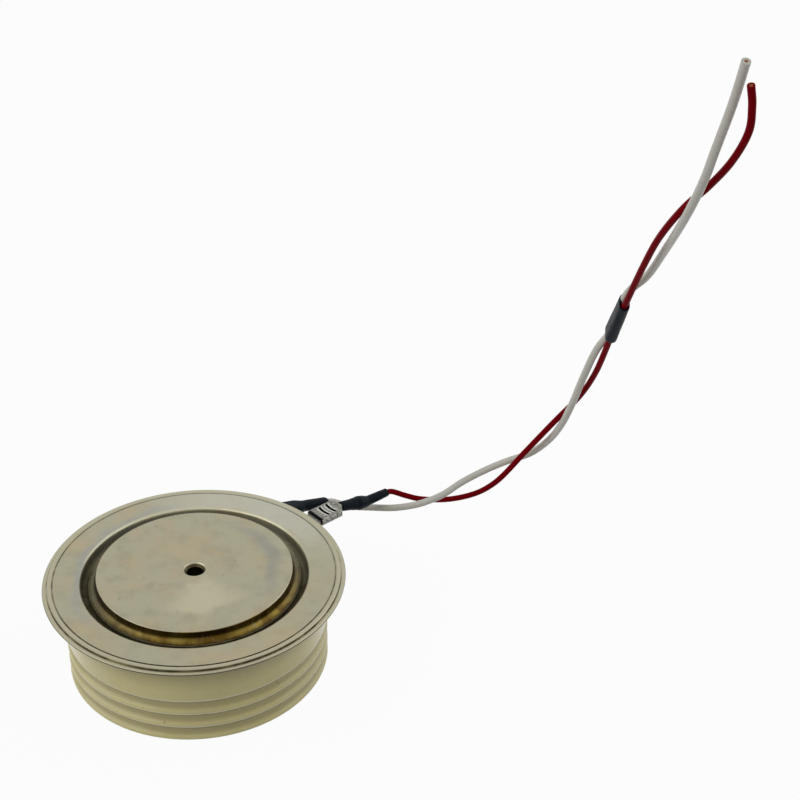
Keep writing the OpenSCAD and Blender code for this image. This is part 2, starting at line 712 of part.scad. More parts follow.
// Flat tube round both leads, along the stretch where they lie side by side
module tie_sleeve() {
    along = unit(tie_red[1] - tie_red[0]);
    middle = (tie_red[0] + tie_red[1] + tie_white[0] + tie_white[1]) / 4 + tie_slide * along;
    apart = tie_white[0] - tie_red[0];
    across = unit(apart - (apart * along) * along);
    upright = cross(along, across);
    width = norm(apart) + max(red_d, white_d) + 4 * sleeve_wall;
    height = max(red_d, white_d) + 4 * sleeve_wall;
    color("#1d262d") multmatrix([
        [across.x, upright.x, along.x, middle.x],
        [across.y, upright.y, along.y, middle.y],
        [across.z, upright.z, along.z, middle.z]
    ]) linear_extrude(tie_sleeve_l, center = true) difference() {
        stadium(width, height);
        stadium(width - 2 * sleeve_wall, height - 2 * sleeve_wall);
    }
}

// Leads

function unit(v) = v / norm(v);

// Point at t between b and c on the smooth curve through a, b, c and d
function between(a, b, c, d, t) =
    (2 * b + (c - a) * t + (2 * a - 5 * b + 4 * c - d) * t * t + (3 * b - a - 3 * c + d) * t * t * t) / 2;

// Smooth curve through all but the first and last points, which only steer its ends
function smooth(p) = [
    for (i = [1:len(p) - 3]) for (s = [0:lead_steps - 1])
        between(p[i - 1], p[i], p[i + 1], p[i + 2], s / lead_steps),
    p[len(p) - 2]
];

// Route that leaves a sleeve straight along its axis
function led_out(start, axis, route) = concat(
    [start - lead_straight * axis, start, start + lead_straight * axis], route,
    [2 * route[len(route) - 1] - route[len(route) - 2]]
);

// Round tube along a line of points; side is any direction that the line never follows,
// and start is the direction that squares off the first end
module tube_along(line, d, side, start = undef) {
    last = len(line) - 1;
    n = lead_sides;
    function ring(i) =
        let (
            ahead = i == 0 && start != undef ? start : unit(line[min(i + 1, last)] - line[max(i - 1, 0)]),
            u = unit(cross(ahead, side)),
            v = cross(ahead, u)
        )
        [for (k = [0:n - 1]) line[i] + d / 2 * (cos(360 * k / n) * u + sin(360 * k / n) * v)];
    walls = [
        for (i = [0:last - 1]) for (k = [0:n - 1])
            [i * n + k, i * n + (k + 1) % n, (i + 1) * n + (k + 1) % n, (i + 1) * n + k]
    ];
    caps = [[for (k = [n - 1:-1:0]) k], [for (k = [0:n - 1]) last * n + k]];
    polyhedron(points = [for (i = [0:last]) each ring(i)], faces = concat(walls, caps), convexity = 6);
}

module red_lead() {
    start = on_cathode_tab(tail_end_point);
    axis = unit(start - on_cathode_tab(shoulder_point));
    color("#8c0f1c") tube_along(smooth(led_out(start, axis, red_route)), red_d, [0, 1, 0], axis);
}

module white_lead() {
    start = on_gate_tab(gate_sleeve_end);
    axis = unit(start - on_gate_tab(0));
    color("#d8d8d2") tube_along(smooth(led_out(start, axis, white_route)), white_d, [0, 1, 0], axis);
}

ceramic_ring();
weld_ring();
cathode_lid();
cathode_pole();
anode_diaphragm();
anode_pole();
anode_disc();
silicon_wafer();
edge_seal();
cathode_disc();
centering_ring();
gate_pin();
gate_spring();
gate_cup();
gate_wire();
gate_wire_tube();
gate_tube();
gate_tab();
cathode_tab();
cathode_receptacle();
gate_receptacle();
cathode_sleeve();
gate_sleeve();
tie_sleeve();
red_lead();
white_lead();
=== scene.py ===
"""Finishes, leads, sleeves and stage of a press-pack thyristor capsule."""

import math

import bpy
from mathutils import Matrix, Vector


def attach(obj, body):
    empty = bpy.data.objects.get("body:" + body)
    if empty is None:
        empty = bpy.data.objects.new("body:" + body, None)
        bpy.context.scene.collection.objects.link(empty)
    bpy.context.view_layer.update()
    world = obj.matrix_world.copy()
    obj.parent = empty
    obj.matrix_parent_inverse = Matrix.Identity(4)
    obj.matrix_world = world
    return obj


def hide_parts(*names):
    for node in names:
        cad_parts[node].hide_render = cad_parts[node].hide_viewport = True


bl_info = {
    "name": "Disc thyristor",
    "version": (1, 0, 0),
    "blender": (4, 5, 0),
    "location": "3D View > Sidebar > Thyristor",
    "description": "Dresses a press-pack thyristor capsule with its finishes, leads and sleeves",
    "category": "Object",
}

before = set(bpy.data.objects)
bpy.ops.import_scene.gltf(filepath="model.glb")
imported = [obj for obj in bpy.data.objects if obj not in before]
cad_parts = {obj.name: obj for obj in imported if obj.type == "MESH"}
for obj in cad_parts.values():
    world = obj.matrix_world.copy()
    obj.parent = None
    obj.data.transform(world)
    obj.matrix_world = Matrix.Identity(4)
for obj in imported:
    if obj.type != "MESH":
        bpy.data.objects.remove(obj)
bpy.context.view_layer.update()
MM = 0.001


def tone(red, green, blue):
    """Linear colour of a screen colour given from 0 to 255."""
    parts = [value / 255 for value in (red, green, blue)]
    return [p / 12.92 if p <= 0.04045 else ((p + 0.055) / 1.055) ** 2.4 for p in parts]


# Routes of the leads in millimetres, through the points of the solids

RED_START = (46.402, 42.519, 20.218)
RED_AXIS = (0.843, 0.496, -0.208)
RED_ROUTE = (
    (51.6, 44.2, 18.1), (55.5, 44.6, 16.8), (61, 43.7, 17.2), (65.7, 41.5, 19.4), (70.3, 39.3, 22.5),
    (73.8, 37.4, 26.1), (77.1, 36, 30.5), (82.2, 34.5, 38.7), (88.5, 31.2, 49.7), (94.3, 27.2, 60.4),
    (97, 20.9, 71.1), (98.5, 12, 85.5), (99.7, 1.7, 100.2), (101, -9.2, 115), (102.4, -17, 125.4),
    (105, -25, 135.3), (108.2, -30.6, 142.4), (110.6, -37, 150.2), (111.7, -42.7, 158.2),
    (111, -45.9, 164.4), (109.9, -47.8, 168.9),
)
WHITE_START = (30.366, 40.648, 18.160)
WHITE_AXIS = (0.891, 0.371, -0.261)
WHITE_ROUTE = (
    (36.6, 41.8, 16), (42, 41.1, 16.2), (48.3, 38.6, 17.9), (53.9, 36.6, 20.3), (58.1, 36.2, 22.2),
    (62, 36.7, 24.1), (66.5, 38.3, 26.7), (72.5, 39.6, 29.7), (78.2, 39.6, 32.7), (84.2, 37.5, 36.8),
    (88.3, 33.8, 43.3), (90.7, 29.5, 50.7), (92.3, 25.2, 59), (94.2, 21.5, 69.3), (96.2, 17.5, 79.1),
    (98.6, 13.5, 86.6), (99.8, 3.2, 101.3), (103, -2.8, 109.2), (104.5, -12.2, 119.8),
    (105.2, -26.5, 133.8), (106.4, -33.9, 144.6), (107.2, -37.4, 152.4), (108.5, -41.5, 163.1),
    (109, -45.7, 172.5),
)
LEAD_STRAIGHT = 2

# Frames of the sleeves in millimetres, the same as in the solids

CRIMP_POINT = (34.136, 31.280, 23.151)
CRIMP_AXIS = (0.710, 0.651, -0.267)
CRIMP_UP = (0.197, 0.181, 0.964)
TAIL_AXIS = (0.737, 0.675, -0.044)
TAIL_UP = (0.032, 0.029, 0.999)
CRIMP_SIDE = (-0.676, 0.737, 0)
SLOT_AXIS = (0.737, 0.676, -0.009)
SLOT_UP = (0.006, 0.006, 1)
SHOULDER = 9.8
TAIL_LENGTH = 7.2
GATE_POINT = (14.510, 29.750, 21.900)
GATE_AXIS = (0.809, 0.556, -0.191)
GATE_SIDE = (-0.566, 0.824, 0)
GATE_UP = (0.157, 0.108, 0.982)
TIE_POINT = (99.110, 7.944, 92.910)
TIE_AXIS = (0.067, -0.573, 0.817)
TIE_SIDE = (0.052, 0.820, 0.570)
TIE_UP = (-0.996, 0.004, 0.084)

# Sizes of the sleeves in millimetres; a mark is a place along the sleeve with its radius, width or height

CATHODE_START = 0.5
CATHODE_END = SHOULDER + TAIL_LENGTH
CATHODE_RADII = (
    (CATHODE_START, 1.28), (2.2, 1.40), (3.6, 1.48), (5.2, 1.66), (6.9, 1.92), (8.3, 1.80), (9.3, 1.62),
    (9.75, 1.54), (9.95, 1.34), (11, 1.32), (14, 1.24), (CATHODE_END, 1.12),
)
GATE_START = 3.9
GATE_END = 19.6
GATE_WIDTHS = ((GATE_START, 5.15), (9.6, 5.15), (12.4, 3.2), (18.85, 3.0), (GATE_END, 2.7))
GATE_HEIGHTS = ((GATE_START, 2.7), (9.6, 2.7), (12.4, 2.95), (18.85, 2.8), (GATE_END, 2.3))
TIE_HALF = 8
TIE_WIDTH = 4.86
TIE_HEIGHT = 3.02
BORE_RED = 1.56
BORE_WHITE = 1.7

# Places on the capsule in millimetres: heights, or distances from its axis; a pair spans a fade

RIB_FIRST = 0.5
RIB_PITCH = 3.95
RIBS_TOP = (12.4, 12.3)
RIB_DEPTH = (32.25, 31.45)
RIM_SHADE = (14, 23)
# Heights of the painted shadow under the rim
RIM_SHADOW = (20.5, 23.4)
GROOVE_DEPTH = (24.75, 23.2)
GROOVE_OUTER = (30.5, 29)
GROOVE_LIP = (23.5, 24.1)
GROOVE_LIP_OUTER = (28.7, 28.2)
WELD_LINE = 34.53
LIP_LINE = 35.92
BEAD_INNER = (34.7, 35.1)
RIM_UNDERSIDE = (24.24, 24.05)
RIM_INNER = (33, 34.5)
CATHODE_FACE = (25.78, 25.9)
ANODE_FACE = (0.22, 0.1)
POLE_WALL = (21, 22)
HOLE_CHAMFER = 2.75
HOLE_EDGE = (2.62, 2.45)
WAFER_EDGE = 22.4
WAFER_GATE = 3.4

# Camera in millimetres and lamps in metres

CAMERA_POINT = (49.8, -313.3, 265.5)
CAMERA_BACK = (0, -0.8547, 0.5191)
CAMERA_UP = (-0.0127, 0.5190, 0.8547)
LAMP_AIM = (0.02, 0, 0.02)
BACK_LAMP = (-0.12, 0.85, 0.42)
LEFT_LAMP = (-0.85, -0.36, 0.5)
RIGHT_LAMP = (0.85, 0.28, 0.5)
BACK_LAMP_SIZE = 0.8
SIDE_LAMP_SIZE = 1.2
FLOOR_DROP = 0.02 * MM


class StageSettings(bpy.types.PropertyGroup):
    """Floor, light and lens."""

    lens: bpy.props.FloatProperty(
        name="Lens", description="Focal length on a 36 mm sensor", default=72, min=10, unit="CAMERA")
    floor_size: bpy.props.FloatProperty(
        name="Floor size", description="Side of the floor", default=6, min=0.5, unit="LENGTH")
    floor_white: bpy.props.FloatProperty(
        name="Floor whiteness", description="Share of the floor that stays white in its own shadow",
        default=0.94, min=0, max=1, subtype="FACTOR")
    floor_bounce: bpy.props.FloatProperty(
        name="Floor bounce", description="Share of the light that the floor throws back on the part",
        default=0.5, min=0, max=1, subtype="FACTOR")
    back_power: bpy.props.FloatProperty(
        name="Back light", description="Power of the large light behind", default=0.25, min=0, unit="POWER")
    left_power: bpy.props.FloatProperty(
        name="Left light", description="Power of the light on the left", default=4.4, min=0, unit="POWER")
    right_power: bpy.props.FloatProperty(
        name="Right light", description="Power of the light on the right", default=3.2, min=0, unit="POWER")
    sky: bpy.props.FloatProperty(
        name="Room light", description="Even light from all round",
        default=0.35, min=0, max=1, subtype="FACTOR")


class LeadSettings(bpy.types.PropertyGroup):
    """The two insulated leads."""

    red_diameter: bpy.props.FloatProperty(
        name="Red diameter", description="Outer diameter of the red lead", default=1.5 * MM, unit="LENGTH")
    white_diameter: bpy.props.FloatProperty(
        name="White diameter", description="Outer diameter of the white lead",
        default=1.8 * MM, unit="LENGTH")
    red_colour: bpy.props.FloatVectorProperty(
        name="Red", description="Colour of the cathode lead", subtype="COLOR", default=tone(130, 2, 16))
    white_colour: bpy.props.FloatVectorProperty(
        name="White", description="Colour of the gate lead", subtype="COLOR", default=tone(216, 214, 204))
    strand_diameter: bpy.props.FloatProperty(
        name="Strand", description="Diameter of one strand in a cut end", default=0.26 * MM, unit="LENGTH")


class SleeveSettings(bpy.types.PropertyGroup):
    """Heat-shrunk sleeves."""

    colour: bpy.props.FloatVectorProperty(
        name="Sleeve", description="Colour of the shrunk sleeves", subtype="COLOR",
        default=tone(12, 22, 30))
    dust: bpy.props.FloatVectorProperty(
        name="Dust", description="Colour of the rubbed places", subtype="COLOR", default=tone(34, 43, 50))
    wall: bpy.props.FloatProperty(
        name="Wall", description="Wall of a shrunk sleeve", default=0.3 * MM, unit="LENGTH")
    wrinkle: bpy.props.FloatProperty(
        name="Wrinkle", description="Depth of the soft folds", default=0.05 * MM, unit="LENGTH")


class CapsuleSettings(bpy.types.PropertyGroup):
    """Ceramic and plating of the capsule."""

    ceramic: bpy.props.FloatVectorProperty(
        name="Glaze", description="Colour of the glazed ceramic", subtype="COLOR",
        default=tone(218, 207, 138))
    plating: bpy.props.FloatVectorProperty(
        name="Plating", description="Colour of the plated sheet and poles", subtype="COLOR",
        default=tone(158, 154, 131))
    stain: bpy.props.FloatVectorProperty(
        name="Stain", description="Colour of the warm stains", subtype="COLOR", default=tone(170, 150, 116))
    tarnish: bpy.props.FloatVectorProperty(
        name="Tarnish", description="Colour of the cold heat tint", subtype="COLOR",
        default=tone(138, 142, 144))
    braze: bpy.props.FloatVectorProperty(
        name="Braze", description="Colour of the wall round a pole", subtype="COLOR",
        default=tone(120, 103, 46))
    wear: bpy.props.FloatProperty(
        name="Wear", description="Strength of the scratches", default=0.5, min=0, max=1, subtype="FACTOR")


# Short forms for node trees

def put(tree, kind, values=None, **settings):
    """New node; each value is a constant or the socket that feeds it."""
    node = tree.nodes.new("ShaderNode" + kind)
    node.location = (180 * len(tree.nodes), 0)
    for key, value in settings.items():
        setattr(node, key, value)
    for key, value in (values or {}).items():
        if isinstance(value, bpy.types.NodeSocket):
            tree.links.new(value, node.inputs[key])
        else:
            node.inputs[key].default_value = value
    return node


def work(tree, operation, *terms):
    """Socket with the result of one calculation."""
    return put(tree, "Math", dict(enumerate(terms)), operation=operation).outputs[0]


def ramp(tree, value, start, end, low=0.0, high=1.0):
    """Socket that eases from low to high while the value goes from start to end."""
    values = {0: value, 1: start, 2: end, 3: low, 4: high}
    return put(tree, "MapRange", values, interpolation_type="SMOOTHSTEP").outputs[0]


def mix(tree, factor, first, second):
    """Socket that goes from the first colour to the second as the factor goes from 0 to 1."""
    return put(tree, "Mix", {0: factor, 6: first, 7: second}, data_type="RGBA").outputs[2]


def cover(tree, under, mask, share, over):
    """Socket with a colour laid over another where a mask shows, at a share of full strength."""
    return mix(tree, work(tree, "MULTIPLY", mask, share), under, over)


def gain(tree, base, mask, share):
    """Socket with a value that rises by a share where a mask shows."""
    return work(tree, "ADD", base, work(tree, "MULTIPLY", mask, share))


def all_of(tree, first, *others):
    """Socket with a mask that shows only where every given mask shows."""
    for other in others:
        first = work(tree, "MULTIPLY", first, other)
    return first


def without(tree, mask, share=1.0):
    """Socket with one where a mask is empty, and one less a share where it is full."""
    return work(tree, "SUBTRACT", 1, work(tree, "MULTIPLY", mask, share))


def place(tree):
    """Socket with the point on the surface, in metres in the part's frame."""
    return put(tree, "TexCoord").outputs["Object"]


def across_axis(tree):
    """Sockets with the distance from the capsule's axis and the height, in millimetres."""
    parts = put(tree, "SeparateXYZ", {0: place(tree)}).outputs
    squares = [work(tree, "POWER", part, 2) for part in (parts[0], parts[1])]
    distance = work(tree, "SQRT", work(tree, "ADD", *squares))
    return work(tree, "DIVIDE", distance, MM), work(tree, "DIVIDE", parts[2], MM)


def effect(name, inputs, output):
    """New node group with number inputs and one number output."""
    tree = bpy.data.node_groups.new(name, "ShaderNodeTree")
    for label, value in inputs.items():
        socket = tree.interface.new_socket(label, in_out="INPUT", socket_type="NodeSocketFloat")
        socket.default_value = value
    tree.interface.new_socket(output, in_out="OUTPUT", socket_type="NodeSocketFloat")
    return tree, tree.nodes.new("NodeGroupInput").outputs, tree.nodes.new("NodeGroupOutput").inputs[0]


def use(tree, name, **values):
    """Socket with the result of a shared effect."""
    return put(tree, "Group", values, node_tree=bpy.data.node_groups[name]).outputs[0]


def side_band(tree, toward, inner, outer, reach):
    """Socket with a ragged band on the side of the capsule that a direction points to."""
    values = {"Toward X": toward[0], "Toward Y": toward[1], "Inner": inner, "Outer": outer, "Reach": reach}
    return use(tree, "Side tint", **values)


# Shared effects

def clouds_effect():
    """Soft patches that cover the surface where a noise is high."""
    tree, given, result = effect("Clouds", {"Scale": 60, "Low": 0.45, "High": 0.7, "Shift": 0}, "Mask")
    moved = put(tree, "VectorMath", {0: place(tree), 1: given["Shift"]}, operation="ADD").outputs[0]
    noise = put(tree, "TexNoise", {"Vector": moved, "Scale": given["Scale"], "Detail": 5, "Roughness": 0.6})
    tree.links.new(ramp(tree, noise.outputs[0], given["Low"], given["High"]), result)


def specks_effect():
    """Sparse round dots."""
    tree, given, result = effect("Specks", {"Scale": 400, "Size": 0.2, "Share": 0.1}, "Mask")
    cells = put(tree, "TexVoronoi", {"Vector": place(tree), "Scale": given["Scale"]})
    dot = ramp(tree, cells.outputs["Distance"], 0, given["Size"], 1, 0)
    chance = put(tree, "SeparateColor", {0: cells.outputs["Color"]}).outputs[0]
    chosen = work(tree, "LESS_THAN", chance, given["Share"])
    tree.links.new(work(tree, "MULTIPLY", dot, chosen), result)


def scratches_effect():
    """Broken hairlines in three directions."""
    tree, given, result = effect("Scratches", {"Scale": 260, "Width": 0.02, "Share": 0.5}, "Mask")
    lines = 0.0
    for turn in (0.3, 1.35, 2.5):
        values = {0: place(tree), 2: (0, 0, turn), 3: (9, 1, 9)}
        laid = put(tree, "Mapping", values, vector_type="TEXTURE").outputs[0]
        noise = put(tree, "TexNoise", {"Vector": laid, "Scale": given["Scale"], "Detail": 1.5}).outputs[0]
        away = work(tree, "ABSOLUTE", work(tree, "SUBTRACT", noise, 0.5))
        lines = work(tree, "MAXIMUM", lines, ramp(tree, away, 0, given["Width"], 1, 0))
    broken = put(tree, "TexNoise", {"Vector": place(tree), "Scale": 190, "Detail": 3}).outputs[0]
    keep = ramp(tree, broken, work(tree, "SUBTRACT", 0.85, given["Share"]), 0.8)
    tree.links.new(work(tree, "MULTIPLY", lines, keep), result)


def turned_effect():
    """Fine rings left by turning round the capsule's axis."""
    tree, given, result = effect("Turned rings", {"Pitch": 9}, "Height")
    radius, height = across_axis(tree)
    along = gain(tree, work(tree, "MULTIPLY", radius, given["Pitch"]), height, 0.4)
    noise = put(tree, "TexNoise", {"W": along, "Scale": 1, "Detail": 3}, noise_dimensions="1D").outputs[0]
    tree.links.new(noise, result)


def ring_line_effect():
    """Uneven line at one distance from the capsule's axis."""
    tree, given, result = effect("Ring line", {"Radius": 35, "Width": 0.2}, "Mask")
    radius, _ = across_axis(tree)
    away = work(tree, "ABSOLUTE", work(tree, "SUBTRACT", radius, given["Radius"]))
    noise = put(tree, "TexNoise", {"Vector": place(tree), "Scale": 320, "Detail": 4}).outputs[0]
    line = ramp(tree, away, 0, given["Width"], 1, 0)
    tree.links.new(work(tree, "MULTIPLY", line, ramp(tree, noise, 0.3, 0.6, 0.35, 1)), result)


def side_tint_effect():
    """Ragged band on one side of the capsule, between two distances from its axis."""
    inputs = {"Toward X": -1, "Toward Y": 0, "Inner": 26, "Outer": 34, "Reach": 0.4}
    tree, given, result = effect("Side tint", inputs, "Mask")
    parts = put(tree, "SeparateXYZ", {0: place(tree)}).outputs
    radius, _ = across_axis(tree)
    toward = gain(tree, work(tree, "MULTIPLY", parts[0], given["Toward X"]), parts[1], given["Toward Y"])
    facing = work(tree, "DIVIDE", toward, work(tree, "MULTIPLY", radius, MM))
    noise = put(tree, "TexNoise", {"Vector": place(tree), "Scale": 110, "Detail": 5}).outputs[0]
    ragged = gain(tree, radius, work(tree, "SUBTRACT", noise, 0.5), 9)
    side = ramp(tree, facing, given["Reach"], 1)
    inside = ramp(tree, ragged, given["Outer"], work(tree, "SUBTRACT", given["Outer"], 3))
    outside = ramp(tree, ragged, given["Inner"], work(tree, "ADD", given["Inner"], 3))
    tree.links.new(all_of(tree, side, inside, outside), result)


def grain_effect():
    """Fine even grain."""
    tree, given, result = effect("Grain", {"Scale": 5000}, "Value")
    values = {"Vector": place(tree), "Scale": given["Scale"], "Detail": 3, "Roughness": 0.65}
    tree.links.new(put(tree, "TexNoise", values).outputs[0], result)


def press_slots_effect():
    """Slots and mouth of the cathode receptacle, in the frame of its upper face."""
    tree, given, result = effect("Press slots", {"Length": 8, "Width": 0.5, "Bow": 12.9}, "Mask")
    away = put(tree, "VectorMath", {0: place(tree), 1: at(CRIMP_POINT)}, operation="SUBTRACT").outputs[0]
    parts = []
    for direction in (SLOT_AXIS, CRIMP_SIDE, SLOT_UP):
        share = put(tree, "VectorMath", {0: away, 1: direction}, operation="DOT_PRODUCT").outputs["Value"]
        parts.append(work(tree, "DIVIDE", share, MM))
    along = work(tree, "ADD", parts[0], given["Length"])
    bow = work(tree, "DIVIDE", work(tree, "POWER", parts[1], 2), given["Bow"])
    bent = work(tree, "SUBTRACT", along, bow)
    slots = 0.0
    for share in (0.36, 0.64):
        middle = work(tree, "SUBTRACT", work(tree, "MULTIPLY", given["Length"], share), 0.22)
        off = work(tree, "ABSOLUTE", work(tree, "SUBTRACT", bent, middle))
        core = work(tree, "MULTIPLY", given["Width"], 0.7)
        slots = work(tree, "MAXIMUM", slots, ramp(tree, off, given["Width"], core))
    aside = work(tree, "ABSOLUTE", parts[1])
    slots = work(tree, "MULTIPLY", slots, ramp(tree, aside, 2.2, 2))
    mouth = work(tree, "MULTIPLY", ramp(tree, along, 0.5, 0.35), ramp(tree, aside, 2.9, 2.7))
    near = work(tree, "MULTIPLY", ramp(tree, along, -0.3, -0.1), ramp(tree, parts[2], -0.4, 0.2))
    tree.links.new(work(tree, "MULTIPLY", work(tree, "MAXIMUM", slots, mouth), near), result)


def streaks_effect():
    """Upright streaks on a wall round the capsule's axis."""
    tree, given, result = effect("Streaks", {"Scale": 420, "Low": 0.45, "High": 0.7}, "Mask")
    laid = put(tree, "Mapping", {0: place(tree), 3: (1, 1, 0.12)}).outputs[0]
    noise = put(tree, "TexNoise", {"Vector": laid, "Scale": given["Scale"], "Detail": 4}).outputs[0]
    tree.links.new(ramp(tree, noise, given["Low"], given["High"]), result)


def make_effects():
    """Builds every shared effect once."""
    clouds_effect()
    specks_effect()
    scratches_effect()
    turned_effect()
    ring_line_effect()
    side_tint_effect()
    grain_effect()
    streaks_effect()
    press_slots_effect()


# Materials

def finish(name, **plain):
    """New material with its tree and its shader; the plain values are set on the shader."""
    material = bpy.data.materials.new(name)
    material.use_nodes = True
    shader = material.node_tree.nodes["Principled BSDF"]
    for key, value in plain.items():
        shader.inputs[key.replace("_", " ")].default_value = value
    return material, material.node_tree, shader


def feed(tree, shader, colour, roughness, height, depth, strength):
    """Links colour, roughness and bump height to a shader; the bump's depth is in millimetres."""
    tree.links.new(colour, shader.inputs["Base Color"])
    tree.links.new(roughness, shader.inputs["Roughness"])
    bump = put(tree, "Bump", {"Height": height, "Distance": depth * MM, "Strength": strength})
    tree.links.new(bump.outputs[0], shader.inputs["Normal"])


def rgba(colour, shade=1.0):
    """Colour with full cover, made darker or lighter."""
    return (colour[0] * shade, colour[1] * shade, colour[2] * shade, 1)


def glazed_ceramic(capsule):
    """Cream glaze over ribbed ceramic with soft clouds and pinholes; painted shade in the grooves and under
    the rim, painted crest highlights.
    """
    material, tree, shader = finish("glazed_ceramic", IOR=1.5, Coat_Weight=0.35, Coat_Roughness=0.08)
    cloud = use(tree, "Clouds", Scale=45, Low=0.35, High=0.75)
    colour = cover(tree, rgba(capsule.ceramic), cloud, 0.5, rgba(tone(188, 178, 122)))
    thin = use(tree, "Streaks", Scale=130, Low=0.4, High=0.8)
    colour = cover(tree, colour, thin, 0.25, rgba(tone(214, 206, 166)))
    radius, height = across_axis(tree)
    # Painted shade in the rib grooves, together with glaze pooled there: darker olive towards the bottom of
    # each groove.
    groove = ramp(tree, radius, *RIB_DEPTH)
    colour = cover(tree, colour, groove, 0.55, rgba(tone(132, 120, 66)))
    # Painted highlight: a pale thin band just below each rib crest, on the ribs under the top band.
    turns = work(tree, "DIVIDE", work(tree, "SUBTRACT", height, RIB_FIRST), RIB_PITCH)
    share = work(tree, "FRACT", turns)
    below_crest = ramp(tree, share, 0.7, 0.76)
    crest_highlight = all_of(tree, below_crest, ramp(tree, share, 0.98, 0.9), ramp(tree, height, *RIBS_TOP))
    colour = cover(tree, colour, crest_highlight, 0.85, rgba(tone(250, 246, 226)))
    shade = ramp(tree, height, *RIM_SHADE)
    colour = cover(tree, colour, shade, 0.7, rgba(tone(124, 112, 66)))
    # Painted shadow of the rim: dark olive just below its overhang.
    rim_shadow = ramp(tree, height, *RIM_SHADOW)
    colour = cover(tree, colour, rim_shadow, 0.75, rgba(tone(66, 58, 36)))
    pin = use(tree, "Specks", Scale=420, Size=0.16, Share=0.1)
    colour = cover(tree, colour, pin, 0.8, rgba(tone(72, 58, 36)))
    rough = gain(tree, 0.2, cloud, 0.1)
    wave = use(tree, "Grain", Scale=260)
    feed(tree, shader, colour, rough, work(tree, "SUBTRACT", wave, pin), depth=0.03, strength=0.5)
    return material


def plated_sheet(capsule):
    """Satin plate on pressed sheet: warm stains, cold heat tint, hairlines, dark seams; painted shade in
    the groove, the rim's steps and under the rim; painted highlights; a painted pale reflection behind.
    """
    material, tree, shader = finish("plated_sheet", Metallic=1)
    radius, height = across_axis(tree)
    warm = use(tree, "Clouds", Scale=75, Low=0.45, High=0.75)
    colour = cover(tree, rgba(capsule.plating), warm, 0.55, rgba(capsule.stain))
    dull = use(tree, "Clouds", Scale=260, Low=0.4, High=0.8, Shift=0.4)
    colour = cover(tree, colour, dull, 0.3, rgba(capsule.plating, 0.72))
    tint = side_band(tree, (-0.94, 0.34), inner=26.5, outer=31.5, reach=0.1)
    colour = cover(tree, colour, tint, 0.65, rgba(capsule.tarnish))
    # Painted reflection: paler plating on the far right part of the lid and rim.
    far_sheen = side_band(tree, (0.4, 0.92), inner=26, outer=37, reach=0.5)
    colour = cover(tree, colour, far_sheen, 0.5, rgba(tone(184, 184, 174)))
    # Painted shade in the groove round the pole: dark streaked olive, fading out towards the back.
    low = all_of(tree, ramp(tree, height, *GROOVE_DEPTH), ramp(tree, radius, *GROOVE_OUTER))
    back = side_band(tree, (0, 1), inner=19, outer=42, reach=-0.2)
    dark = all_of(tree, low, without(tree, back))
    streak = use(tree, "Streaks", Scale=300)
    groove = mix(tree, streak, rgba(tone(98, 92, 70)), rgba(tone(76, 66, 42)))
    colour = mix(tree, dark, colour, groove)
    # Painted highlight on the outer lip of the groove, towards the back.
    edge = all_of(tree, ramp(tree, height, *GROOVE_LIP), ramp(tree, radius, *GROOVE_LIP_OUTER), back)
    colour = cover(tree, colour, edge, 0.7, rgba(capsule.plating, 1.5))
    weld = use(tree, "Ring line", Radius=WELD_LINE, Width=0.35)
    lip = use(tree, "Ring line", Radius=LIP_LINE, Width=0.28)
    # Painted highlight: lighter plating on the bead and the outer lip of the rim.
    bead_highlight = ramp(tree, radius, *BEAD_INNER)
    colour = cover(tree, colour, bead_highlight, 0.8, rgba(capsule.plating, 1.15))
    # Dark lines at the weld and the lip: dark seams with painted shade in the rim's steps, fainter towards
    # the back.
    seam_shade = all_of(tree, work(tree, "MAXIMUM", weld, lip), without(tree, back, 0.6))
    colour = cover(tree, colour, seam_shade, 0.8, rgba(tone(66, 56, 40)))
    # Painted shade on the underside and lower face of the rim.
    under = all_of(tree, ramp(tree, height, *RIM_UNDERSIDE), ramp(tree, radius, *RIM_INNER))
    colour = cover(tree, colour, under, 0.85, rgba(tone(52, 47, 38)))
    line = work(tree, "MULTIPLY", use(tree, "Scratches", Share=0.4), capsule.wear)
    colour = cover(tree, colour, line, 0.4, rgba(capsule.plating, 1.25))
    rough = gain(tree, gain(tree, gain(tree, 0.3, line, 0.15), dull, 0.12), low, 0.45)
    grain = use(tree, "Grain", Scale=3200)
    feed(tree, shader, colour, rough, work(tree, "SUBTRACT", grain, line), depth=0.006, strength=0.5)
    return material


